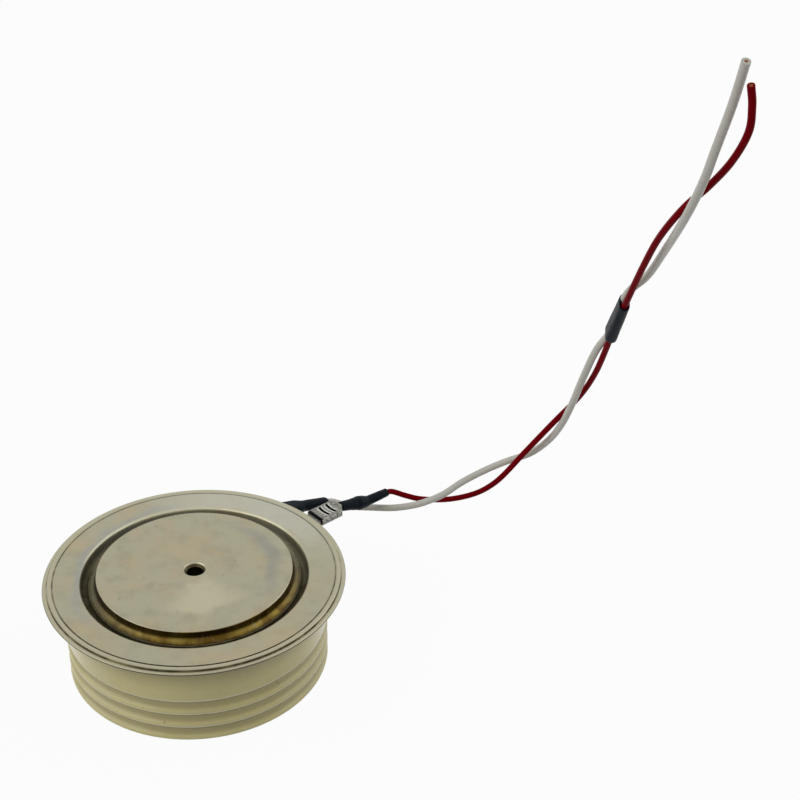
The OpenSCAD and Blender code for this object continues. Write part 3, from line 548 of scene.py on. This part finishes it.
def plated_pole(capsule):
    """Turned and plated pole: stains on the face, golden braze down the coved wall; painted shade on the
    wall's sides and in the hole, a painted reflection on the face and a painted highlight on the chamfer.
    """
    material, tree, shader = finish("plated_pole", Metallic=1)
    radius, height = across_axis(tree)
    warm = use(tree, "Clouds", Scale=85, Low=0.45, High=0.72, Shift=0.2)
    colour = cover(tree, rgba(capsule.plating), warm, 0.5, rgba(capsule.stain))
    dull = use(tree, "Clouds", Scale=190, Low=0.42, High=0.78, Shift=0.7)
    colour = cover(tree, colour, dull, 0.5, rgba(capsule.plating, 0.7))
    edge = side_band(tree, (0.93, 0.36), inner=16, outer=23, reach=0.5)
    colour = cover(tree, colour, edge, 0.45, rgba(capsule.tarnish, 0.75))
    # Painted reflection: lighter plating on the front part of the pole's face.
    pale = side_band(tree, (0.3, -0.95), inner=3, outer=18, reach=0.7)
    colour = cover(tree, colour, pale, 0.55, rgba(capsule.plating, 1.4))
    face = work(tree, "MAXIMUM", ramp(tree, height, *CATHODE_FACE), ramp(tree, height, *ANODE_FACE))
    wall = all_of(tree, ramp(tree, radius, *POLE_WALL), without(tree, face))
    streak = use(tree, "Streaks", Scale=240, Low=0.4, High=0.65)
    braze = mix(tree, streak, rgba(capsule.braze), rgba(tone(84, 64, 24)))
    # Painted shade: the wall turns darker olive grey away from the front, where the golden braze shows.
    front = side_band(tree, (0.35, -0.94), inner=12, outer=36, reach=-0.1)
    braze = mix(tree, front, rgba(tone(90, 84, 64)), braze)
    rear = side_band(tree, (0, 1), inner=12, outer=36, reach=0.2)
    braze = mix(tree, rear, braze, rgba(capsule.plating))
    colour = mix(tree, wall, colour, braze)
    spot = use(tree, "Specks", Scale=420, Size=0.26, Share=0.07)
    colour = cover(tree, colour, spot, 0.4, rgba(tone(90, 80, 60)))
    # Painted highlight on the chamfer of the locating hole.
    chamfer_highlight = use(tree, "Ring line", Radius=HOLE_CHAMFER, Width=0.25)
    colour = cover(tree, colour, chamfer_highlight, 0.7, rgba(capsule.plating, 1.25))
    # Painted shade: the locating hole is dark inside.
    hole_shade = ramp(tree, radius, *HOLE_EDGE)
    colour = mix(tree, hole_shade, colour, rgba(tone(66, 58, 40)))
    line = work(tree, "MULTIPLY", use(tree, "Scratches", Scale=320, Share=0.45), capsule.wear)
    colour = cover(tree, colour, line, 0.4, rgba(capsule.plating, 1.25))
    rough = gain(tree, gain(tree, 0.34, line, 0.12), dull, 0.1)
    rings = use(tree, "Turned rings", Pitch=10)
    feed(tree, shader, colour, rough, work(tree, "SUBTRACT", rings, line), depth=0.006, strength=0.35)
    return material


def tinned_brass():
    """Tinned strip and receptacles: mottled grey with dark pits, painted highlights on the lips and slots
    painted black as shade.
    """
    material, tree, shader = finish("tinned_brass", Metallic=0.85)
    mottle = use(tree, "Clouds", Scale=1700, Low=0.35, High=0.7)
    colour = mix(tree, mottle, rgba(tone(150, 150, 141)), rgba(tone(80, 80, 75)))
    brown = use(tree, "Clouds", Scale=300, Low=0.55, High=0.8, Shift=0.3)
    colour = cover(tree, colour, brown, 0.4, rgba(tone(116, 106, 88)))
    pit = use(tree, "Specks", Scale=1600, Size=0.35, Share=0.16)
    colour = cover(tree, colour, pit, 0.6, rgba(tone(60, 58, 54)))
    # Painted highlight: pale lips round the slots and the mouth.
    lip = use(tree, "Press slots", Width=0.95)
    colour = cover(tree, colour, lip, 0.75, rgba(tone(216, 216, 208)))
    # Painted shade: the slots and the mouth are near black.
    slot = use(tree, "Press slots")
    colour = mix(tree, slot, colour, rgba(tone(16, 16, 15)))
    line = use(tree, "Scratches", Scale=700, Share=0.5)
    rough = gain(tree, 0.3, work(tree, "MAXIMUM", mottle, slot), 0.3)
    relief = work(tree, "SUBTRACT", mottle, work(tree, "ADD", pit, line))
    feed(tree, shader, colour, rough, relief, depth=0.02, strength=0.4)
    return material


def shrunk_sleeve(sleeves):
    """Shrunk plastic sleeve: blue black, rubbed grey in patches, with soft folds."""
    material, tree, shader = finish("shrunk_sleeve", IOR=1.5, Specular_IOR_Level=0.06)
    rub = use(tree, "Clouds", Scale=380, Low=0.5, High=0.85)
    colour = cover(tree, rgba(sleeves.colour), rub, 0.4, rgba(sleeves.dust))
    dust = use(tree, "Specks", Scale=1500, Size=0.22, Share=0.12)
    colour = cover(tree, colour, dust, 0.3, rgba(tone(140, 146, 150)))
    rough = gain(tree, 0.42, rub, 0.16)
    fold = gain(tree, use(tree, "Grain", Scale=600), use(tree, "Grain", Scale=4200), 0.3)
    feed(tree, shader, colour, rough, fold, depth=0.06, strength=0.5)
    return material


def insulation(name, colour, worn, grime, sheen):
    """Extruded insulation: slightly uneven colour, rubbed places and grime."""
    material, tree, shader = finish(name, IOR=1.42, Specular_IOR_Level=sheen)
    cloud = use(tree, "Clouds", Scale=130, Low=0.4, High=0.75)
    shaded = cover(tree, rgba(colour), cloud, 0.45, rgba(worn))
    soil = use(tree, "Clouds", Scale=700, Low=0.58, High=0.85, Shift=0.5)
    shaded = cover(tree, shaded, soil, 0.25, rgba(grime))
    rough = gain(tree, 0.3, soil, 0.2)
    skin = use(tree, "Grain", Scale=1500)
    feed(tree, shader, shaded, rough, skin, depth=0.01, strength=0.15)
    return material


def copper_strand():
    """Cut copper strands, dull with age."""
    material, tree, shader = finish("copper_strand", Metallic=1)
    cloud = use(tree, "Clouds", Scale=2600, Low=0.35, High=0.7)
    colour = mix(tree, cloud, rgba(tone(150, 98, 66)), rgba(tone(62, 44, 34)))
    rough = gain(tree, 0.35, cloud, 0.25)
    feed(tree, shader, colour, rough, use(tree, "Grain", Scale=9000), depth=0.01, strength=0.4)
    return material


def lapped_metal(name, light, dark, roughness):
    """Inner metal with fine rings and faint hairlines."""
    material, tree, shader = finish(name, Metallic=1)
    cloud = use(tree, "Clouds", Scale=140, Low=0.35, High=0.75)
    colour = cover(tree, rgba(light), cloud, 0.6, rgba(dark))
    line = use(tree, "Scratches", Scale=420, Share=0.35)
    rough = gain(tree, roughness, line, 0.15)
    rings = use(tree, "Turned rings", Pitch=14)
    feed(tree, shader, colour, rough, work(tree, "SUBTRACT", rings, line), depth=0.006, strength=0.4)
    return material


def polished_silicon():
    """Polished wafer with the dark ring of its bevelled edge and the ring of its gate."""
    material, tree, shader = finish("polished_silicon", Metallic=0.6, Coat_Weight=0.5)
    cloud = use(tree, "Clouds", Scale=60, Low=0.3, High=0.8)
    colour = cover(tree, rgba(tone(96, 104, 116)), cloud, 0.4, rgba(tone(72, 78, 94)))
    rim = use(tree, "Ring line", Radius=WAFER_EDGE, Width=0.8)
    gate = use(tree, "Ring line", Radius=WAFER_GATE, Width=0.5)
    colour = mix(tree, work(tree, "MAXIMUM", rim, gate), colour, rgba(tone(40, 42, 52)))
    rough = gain(tree, 0.12, cloud, 0.08)
    feed(tree, shader, colour, rough, use(tree, "Grain", Scale=1800), depth=0.003, strength=0.2)
    return material


def soft_moulding(name, light, dark, roughness):
    """Moulded plastic or rubber with a fine skin and a few dark specks."""
    material, tree, shader = finish(name, IOR=1.45)
    cloud = use(tree, "Clouds", Scale=170, Low=0.35, High=0.75)
    colour = cover(tree, rgba(light), cloud, 0.6, rgba(dark))
    dust = use(tree, "Specks", Scale=700, Size=0.2, Share=0.08)
    colour = cover(tree, colour, dust, 0.5, rgba(dark, 0.5))
    rough = gain(tree, roughness, cloud, 0.12)
    feed(tree, shader, colour, rough, use(tree, "Grain", Scale=2600), depth=0.02, strength=0.4)
    return material


def coat(material, *names):
    """Puts a material on solids of the part."""
    for name in names:
        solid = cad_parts[name]
        if not solid.material_slots:
            raise RuntimeError(f"{name} has no material slot")
        for slot in solid.material_slots:
            slot.material = material


# Shapes

OVAL_POINTS = 48


def at(point, *moves):
    """Point in metres, moved along pairs of a direction and a distance in millimetres."""
    moved = Vector(point)
    for direction, distance in moves:
        moved = moved + Vector(direction) * distance
    return moved * MM


def oval(centre, side, up, width, height, waist=0.0, turn=0.0, ripple=0.0):
    """Ring of points round a centre: two half circles with a flat, or a waist, between them."""
    ring = []
    for k in range(OVAL_POINTS):
        a = 2 * math.pi * (k + 0.5) / OVAL_POINTS
        c = math.cos(a)
        s = math.sin(a)
        wave = 1 + ripple * math.sin(3 * a + turn)
        y = math.copysign((width - height) / 2, c) + height / 2 * c if width > height else width / 2 * c
        z = height / 2 * s * (1 - waist * (1 - min(1, abs(2 * y / width)) ** 2))
        ring.append(at(centre, (side, y * wave), (up, z * wave)))
    return ring


def mesh_piece(name, points, faces, material):
    """Smooth piece of the part from points and faces."""
    mesh = bpy.data.meshes.new(name)
    mesh.from_pydata(points, [], faces)
    mesh.validate()
    mesh.shade_smooth()
    mesh.materials.append(material)
    piece = bpy.data.objects.new(name, mesh)
    bpy.context.scene.collection.objects.link(piece)
    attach(piece, "root")
    return piece


def shrink(name, outside, inside, material, node):
    """Closed sleeve over rings that run along its outside and back along its inside."""
    rings = outside + inside[::-1]
    count = OVAL_POINTS
    points = [point for ring in rings for point in ring]
    faces = []
    for i in range(len(rings)):
        below = i * count
        above = ((i + 1) % len(rings)) * count
        for k in range(count):
            beside = (k + 1) % count
            faces.append((below + k, below + beside, above + beside, above + k))
    piece = mesh_piece(name, points, faces, material)
    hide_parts(node)


def ease(marks, s):
    """Value at s between marks of (place, value), with soft turns at the marks."""
    for (s0, v0), (s1, v1) in zip(marks, marks[1:]):
        if s <= s1:
            t = max(0.0, (s - s0) / (s1 - s0))
            return v0 + (v1 - v0) * t * t * (3 - 2 * t)
    return marks[-1][1]


def lead_points(start, axis, route):
    """Points that a lead passes through, with one steering point before and one after them."""
    first = Vector(start)
    way = Vector(axis).normalized() * LEAD_STRAIGHT
    passed = [first - way, first, first + way] + [Vector(point) for point in route]
    return passed + [passed[-1] * 2 - passed[-2]]


def lead_curve(name, points, diameter, material):
    """Round lead on one smooth curve through its points."""
    curve = bpy.data.curves.new(name, "CURVE")
    curve.dimensions = "3D"
    curve.resolution_u = 10
    curve.bevel_depth = diameter / 2
    curve.bevel_resolution = 6
    curve.use_fill_caps = True
    spline = curve.splines.new("BEZIER")
    spline.bezier_points.add(len(points) - 3)
    for knot, before, point, after in zip(spline.bezier_points, points, points[1:], points[2:]):
        reach = (after - before) / 6
        knot.handle_left_type = "FREE"
        knot.handle_right_type = "FREE"
        knot.co = point * MM
        knot.handle_left = (point - reach) * MM
        knot.handle_right = (point + reach) * MM
    curve.materials.append(material)
    lead = bpy.data.objects.new(name, curve)
    bpy.context.scene.collection.objects.link(lead)
    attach(lead, "root")
    return lead


def cut_end(name, points, strand, material):
    """Seven strands that show in the cut end of a lead, each with a rounded tip."""
    end = points[-2] * MM
    way = (points[-1] - points[-3]).normalized()
    side = way.orthogonal().normalized()
    up = way.cross(side)
    middles = [Vector((0, 0, 0))]
    for k in range(6):
        a = math.pi * k / 3
        middles.append((side * math.cos(a) + up * math.sin(a)) * strand)
    count = 10
    # Pairs of a share of the strand's radius and a distance out of the cut, in half millimetres
    profile = ((1, -0.6), (1, 0.04), (0.8, 0.08), (0.35, 0.1))
    spots = []
    faces = []
    for middle in middles:
        base = len(spots)
        for share, out in profile:
            for k in range(count):
                a = 2 * math.pi * k / count
                round_it = (side * math.cos(a) + up * math.sin(a)) * share * strand / 2
                spots.append(end + middle + round_it + way * out * MM * 0.5)
        for i in range(len(profile) - 1):
            for k in range(count):
                beside = (k + 1) % count
                low = base + i * count
                faces.append((low + k, low + beside, low + count + beside, low + count + k))
        faces.append(tuple(base + (len(profile) - 1) * count + k for k in range(count)))
        faces.append(tuple(base + k for k in reversed(range(count))))
    return mesh_piece(name, spots, faces, material)


# Operators

class THYRISTOR_OT_stage(bpy.types.Operator):
    """Sets up the camera, the floor and the soft light."""

    bl_idname = "thyristor.stage"
    bl_label = "Stage"

    def execute(self, context):
        scene = context.scene
        stage = scene.thyristor_stage
        scene.view_settings.view_transform = "Standard"
        self.camera(scene, stage)
        self.floor(scene, stage)
        self.room(scene, stage)
        self.light(scene, "back_light", BACK_LAMP, BACK_LAMP_SIZE, stage.back_power)
        self.light(scene, "left_light", LEFT_LAMP, SIDE_LAMP_SIZE, stage.left_power)
        self.light(scene, "right_light", RIGHT_LAMP, SIDE_LAMP_SIZE, stage.right_power)
        return {"FINISHED"}

    def camera(self, scene, stage):
        """Camera at the viewing angle of the product picture."""
        data = bpy.data.cameras.new("camera")
        data.lens = stage.lens
        data.sensor_width = 36
        data.clip_end = 20
        camera = bpy.data.objects.new("camera", data)
        back = Vector(CAMERA_BACK).normalized()
        right = Vector(CAMERA_UP).cross(back).normalized()
        up = back.cross(right)
        turned = Matrix((right, up, back)).transposed().to_4x4()
        camera.matrix_world = Matrix.Translation(at(CAMERA_POINT)) @ turned
        scene.collection.objects.link(camera)
        scene.camera = camera

    def seen(self, tree):
        """One for the camera's own rays and for those that gloss or glass sends on."""
        path = put(tree, "LightPath").outputs
        sent_on = work(tree, "MAXIMUM", path["Is Glossy Ray"], path["Is Transmission Ray"])
        return work(tree, "MAXIMUM", path["Is Camera Ray"], sent_on)

    def floor(self, scene, stage):
        """Pale floor that shows white and keeps a faint shadow."""
        half = stage.floor_size / 2
        mesh = bpy.data.meshes.new("floor")
        signs = ((-1, -1), (1, -1), (1, 1), (-1, 1))
        mesh.from_pydata([(x * half, y * half, -FLOOR_DROP) for x, y in signs], [], [(0, 1, 2, 3)])
        material = bpy.data.materials.new("pale_floor")
        material.use_nodes = True
        tree = material.node_tree
        tree.nodes.clear()
        seen = self.seen(tree)
        share = work(tree, "MULTIPLY", seen, stage.floor_white)
        pale = mix(tree, seen, rgba((1, 1, 0.99), stage.floor_bounce), (0.95, 0.95, 0.95, 1))
        plain = put(tree, "BsdfDiffuse", {"Color": pale}).outputs[0]
        white = put(tree, "Emission", {"Color": (1, 1, 1, 1), "Strength": 1}).outputs[0]
        both = put(tree, "MixShader", {0: share, 1: plain, 2: white}).outputs[0]
        put(tree, "OutputMaterial", {0: both})
        mesh.materials.append(material)
        floor = bpy.data.objects.new("floor", mesh)
        scene.collection.objects.link(floor)

    def room(self, scene, stage):
        """World that shows white and gives an even light."""
        world = bpy.data.worlds.new("room")
        world.use_nodes = True
        tree = world.node_tree
        tree.nodes.clear()
        seen = self.seen(tree)
        even = put(tree, "Background", {"Color": (1, 1, 1, 1), "Strength": stage.sky}).outputs[0]
        white = put(tree, "Background", {"Color": (1, 1, 1, 1), "Strength": 1}).outputs[0]
        both = put(tree, "MixShader", {0: seen, 1: even, 2: white}).outputs[0]
        put(tree, "OutputWorld", {0: both})
        scene.world = world

    def light(self, scene, name, place_at, size, power):
        """Square light that faces the capsule."""
        data = bpy.data.lights.new(name, "AREA")
        data.size = size
        data.energy = power
        lamp = bpy.data.objects.new(name, data)
        lamp.location = place_at
        aim = Vector(LAMP_AIM) - lamp.location
        lamp.rotation_euler = aim.to_track_quat("-Z", "Y").to_euler()
        scene.collection.objects.link(lamp)


class THYRISTOR_OT_leads(bpy.types.Operator):
    """Lays the red and the white lead and their cut ends."""

    bl_idname = "thyristor.leads"
    bl_label = "Leads"

    def execute(self, context):
        leads = context.scene.thyristor_leads
        strand = copper_strand()
        red = insulation("red_insulation", leads.red_colour, tone(112, 1, 13), tone(76, 4, 10), 0.015)
        white = insulation(
            "white_insulation", leads.white_colour, tone(206, 202, 188), tone(150, 144, 130), 0.3)
        self.lay("red_wire", "red_lead", "red_insulation", RED_START, RED_AXIS, RED_ROUTE,
                 leads.red_diameter, leads.strand_diameter, red, strand, bpy.data.objects["tie_shrink"])
        self.lay("white_wire", "white_lead", "white_insulation", WHITE_START, WHITE_AXIS, WHITE_ROUTE,
                 leads.white_diameter, leads.strand_diameter, white, strand)
        return {"FINISHED"}

    def lay(self, name, node, slot, start, axis, route, diameter, strand_d, material, strand, *carried):
        """One lead from its sleeve to its cut end."""
        points = lead_points(start, axis, route)
        lead = lead_curve(name, points, diameter, material)
        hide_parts(node)
        core = cut_end(name + "_core", points, strand_d, strand)


class THYRISTOR_OT_sleeves(bpy.types.Operator):
    """Shrinks the sleeves over both crimps and round both leads."""

    bl_idname = "thyristor.sleeves"
    bl_label = "Sleeves"

    def execute(self, context):
        sleeves = context.scene.thyristor_sleeves
        material = shrunk_sleeve(sleeves)
        self.cathode(sleeves, material)
        self.gate(sleeves, material)
        self.tie(sleeves, material)
        return {"FINISHED"}

    def cathode(self, sleeves, material):
        """Bulged sleeve on the crimp and the slim sleeve that leaves it."""
        wall = sleeves.wall / MM
        stops = [CATHODE_START + 0.185 * k for k in range(51)] + [SHOULDER, 9.9, 9.95]
        stops += [10.2 + 0.25 * k for k in range(28)] + [CATHODE_END]
        fold = sleeves.wrinkle / MM / 4
        outside = []
        inside = []
        for s in stops:
            centre, up = self.crimp_line(s)
            r = ease(CATHODE_RADII, s)
            ripple = fold * math.sin(2.1 * s) if s < SHOULDER else fold / 3
            outside.append(oval(centre, CRIMP_SIDE, up, 2 * r, 2 * r * 0.98, turn=s, ripple=ripple))
            inner = max(2 * (r - wall), BORE_RED)
            inside.append(oval(centre, CRIMP_SIDE, up, inner, inner))
        shrink("cathode_shrink", outside, inside, material, "cathode_sleeve")

    def crimp_line(self, s):
        """Middle of the sleeve and its upward direction at s millimetres from the receptacle."""
        bend = min(1.0, max(0.0, (s - SHOULDER + 1) / 2))
        up = Vector(CRIMP_UP).lerp(Vector(TAIL_UP), bend).normalized()
        if s <= SHOULDER - 1:
            return Vector(CRIMP_POINT) + Vector(CRIMP_AXIS) * s, up
        knee = Vector(CRIMP_POINT) + Vector(CRIMP_AXIS) * SHOULDER
        if s >= SHOULDER + 1:
            return knee + Vector(TAIL_AXIS) * (s - SHOULDER), up
        before = knee - Vector(CRIMP_AXIS)
        after = knee + Vector(TAIL_AXIS)
        return before.lerp(knee, bend).lerp(knee.lerp(after, bend), bend), up

    def gate(self, sleeves, material):
        """Flat sleeve over the gate receptacle, pinched down to the white lead."""
        walls = 2 * sleeves.wall / MM
        steps = 50
        outside = []
        inside = []
        for k in range(steps + 1):
            s = GATE_START + (GATE_END - GATE_START) * k / steps
            centre = Vector(GATE_POINT) + Vector(GATE_AXIS) * s
            w = ease(GATE_WIDTHS, s)
            h = ease(GATE_HEIGHTS, s)
            lip = 0.06 if k in (0, steps) else 0
            outside.append(oval(
                centre, GATE_SIDE, GATE_UP, w - lip, h - lip, waist=0.05, turn=0.8 * s, ripple=0.006))
            inside.append(oval(
                centre, GATE_SIDE, GATE_UP, max(w - walls, BORE_WHITE), max(h - walls, BORE_WHITE)))
        shrink("gate_shrink", outside, inside, material, "gate_sleeve")

    def tie(self, sleeves, material):
        """Sleeve that holds both leads together, tapered towards their ends."""
        walls = 2 * sleeves.wall / MM
        steps = 54
        outside = []
        inside = []
        for k in range(steps + 1):
            s = -TIE_HALF + 2 * TIE_HALF * k / steps
            centre = Vector(TIE_POINT) + Vector(TIE_AXIS) * s
            taper = 1.04 - 0.01 * (s + TIE_HALF)
            lip = 0.08 if k in (0, steps) else 0
            w = TIE_WIDTH * taper
            h = TIE_HEIGHT * taper
            outside.append(oval(
                centre, TIE_SIDE, TIE_UP, w - lip, h - lip, waist=0.12, turn=0.6 * s, ripple=0.008))
            inside.append(oval(centre, TIE_SIDE, TIE_UP, w - walls, h - walls, waist=0.05))
        shrink("tie_shrink", outside, inside, material, "tie_sleeve")


class THYRISTOR_OT_ceramic(bpy.types.Operator):
    """Glazes the ribbed ceramic ring."""

    bl_idname = "thyristor.ceramic"
    bl_label = "Ceramic"

    def execute(self, context):
        coat(glazed_ceramic(context.scene.thyristor_capsule), "ceramic_ring")
        return {"FINISHED"}


class THYRISTOR_OT_sheets(bpy.types.Operator):
    """Plates the lid, the weld ring, the diaphragm and the gate tube."""

    bl_idname = "thyristor.sheets"
    bl_label = "Plated sheets"

    def execute(self, context):
        coat(
            plated_sheet(context.scene.thyristor_capsule),
            "cathode_lid", "weld_ring", "anode_diaphragm", "gate_tube")
        return {"FINISHED"}


class THYRISTOR_OT_poles(bpy.types.Operator):
    """Plates and stains both poles."""

    bl_idname = "thyristor.poles"
    bl_label = "Poles"

    def execute(self, context):
        coat(plated_pole(context.scene.thyristor_capsule), "cathode_pole", "anode_pole")
        return {"FINISHED"}


class THYRISTOR_OT_terminals(bpy.types.Operator):
    """Tins the tabs and their receptacles."""

    bl_idname = "thyristor.terminals"
    bl_label = "Terminals"

    def execute(self, context):
        coat(tinned_brass(), "cathode_tab", "gate_tab", "cathode_receptacle", "gate_receptacle")
        return {"FINISHED"}


class THYRISTOR_OT_stack(bpy.types.Operator):
    """Finishes the wafer, its discs and the gate contact inside the capsule."""

    bl_idname = "thyristor.stack"
    bl_label = "Wafer stack"

    def execute(self, context):
        coat(
            lapped_metal("lapped_molybdenum", tone(164, 166, 170), tone(128, 130, 136), 0.35),
            "anode_disc", "cathode_disc")
        coat(polished_silicon(), "silicon_wafer")
        coat(soft_moulding("seal_rubber", tone(150, 62, 44), tone(112, 42, 32), 0.5), "edge_seal")
        coat(
            soft_moulding("white_moulding", tone(236, 234, 226), tone(206, 202, 190), 0.4),
            "centering_ring", "gate_cup", "gate_wire_tube")
        coat(
            lapped_metal("gate_metal", tone(206, 178, 104), tone(164, 134, 70), 0.3),
            "gate_pin", "gate_wire")
        coat(lapped_metal("spring_steel", tone(176, 178, 182), tone(130, 134, 140), 0.28), "gate_spring")
        return {"FINISHED"}


class THYRISTOR_PT_panel(bpy.types.Panel):
    """Lists the pieces of the capsule and the sizes and colours that can change."""

    bl_idname = "THYRISTOR_PT_panel"
    bl_label = "Disc thyristor"
    bl_space_type = "VIEW_3D"
    bl_region_type = "UI"
    bl_category = "Thyristor"

    def draw(self, context):
        scene = context.scene
        for settings, operators in (
            (scene.thyristor_stage, ("thyristor.stage",)),
            (scene.thyristor_sleeves, ("thyristor.sleeves",)),
            (scene.thyristor_leads, ("thyristor.leads",)),
            (scene.thyristor_capsule, ("thyristor.ceramic", "thyristor.sheets", "thyristor.poles")),
            (None, ("thyristor.terminals", "thyristor.stack")),
        ):
            box = self.layout.box()
            if settings is not None:
                for name in settings.__annotations__:
                    box.prop(settings, name)
            for operator in operators:
                box.operator(operator)


CLASSES = (
    StageSettings, LeadSettings, SleeveSettings, CapsuleSettings,
    THYRISTOR_OT_stage, THYRISTOR_OT_leads, THYRISTOR_OT_sleeves, THYRISTOR_OT_ceramic, THYRISTOR_OT_sheets,
    THYRISTOR_OT_poles, THYRISTOR_OT_terminals, THYRISTOR_OT_stack, THYRISTOR_PT_panel,
)


def register():
    for made in CLASSES:
        bpy.utils.register_class(made)
    bpy.types.Scene.thyristor_stage = bpy.props.PointerProperty(type=StageSettings)
    bpy.types.Scene.thyristor_leads = bpy.props.PointerProperty(type=LeadSettings)
    bpy.types.Scene.thyristor_sleeves = bpy.props.PointerProperty(type=SleeveSettings)
    bpy.types.Scene.thyristor_capsule = bpy.props.PointerProperty(type=CapsuleSettings)


def unregister():
    del bpy.types.Scene.thyristor_capsule
    del bpy.types.Scene.thyristor_sleeves
    del bpy.types.Scene.thyristor_leads
    del bpy.types.Scene.thyristor_stage
    for made in reversed(CLASSES):
        bpy.utils.unregister_class(made)


def main():
    """Dresses the part."""
    register()
    make_effects()
    bpy.ops.thyristor.stage()
    bpy.ops.thyristor.sleeves()
    bpy.ops.thyristor.leads()
    bpy.ops.thyristor.ceramic()
    bpy.ops.thyristor.sheets()
    bpy.ops.thyristor.poles()
    bpy.ops.thyristor.terminals()
    bpy.ops.thyristor.stack()


if __name__ == "__main__":
    main()
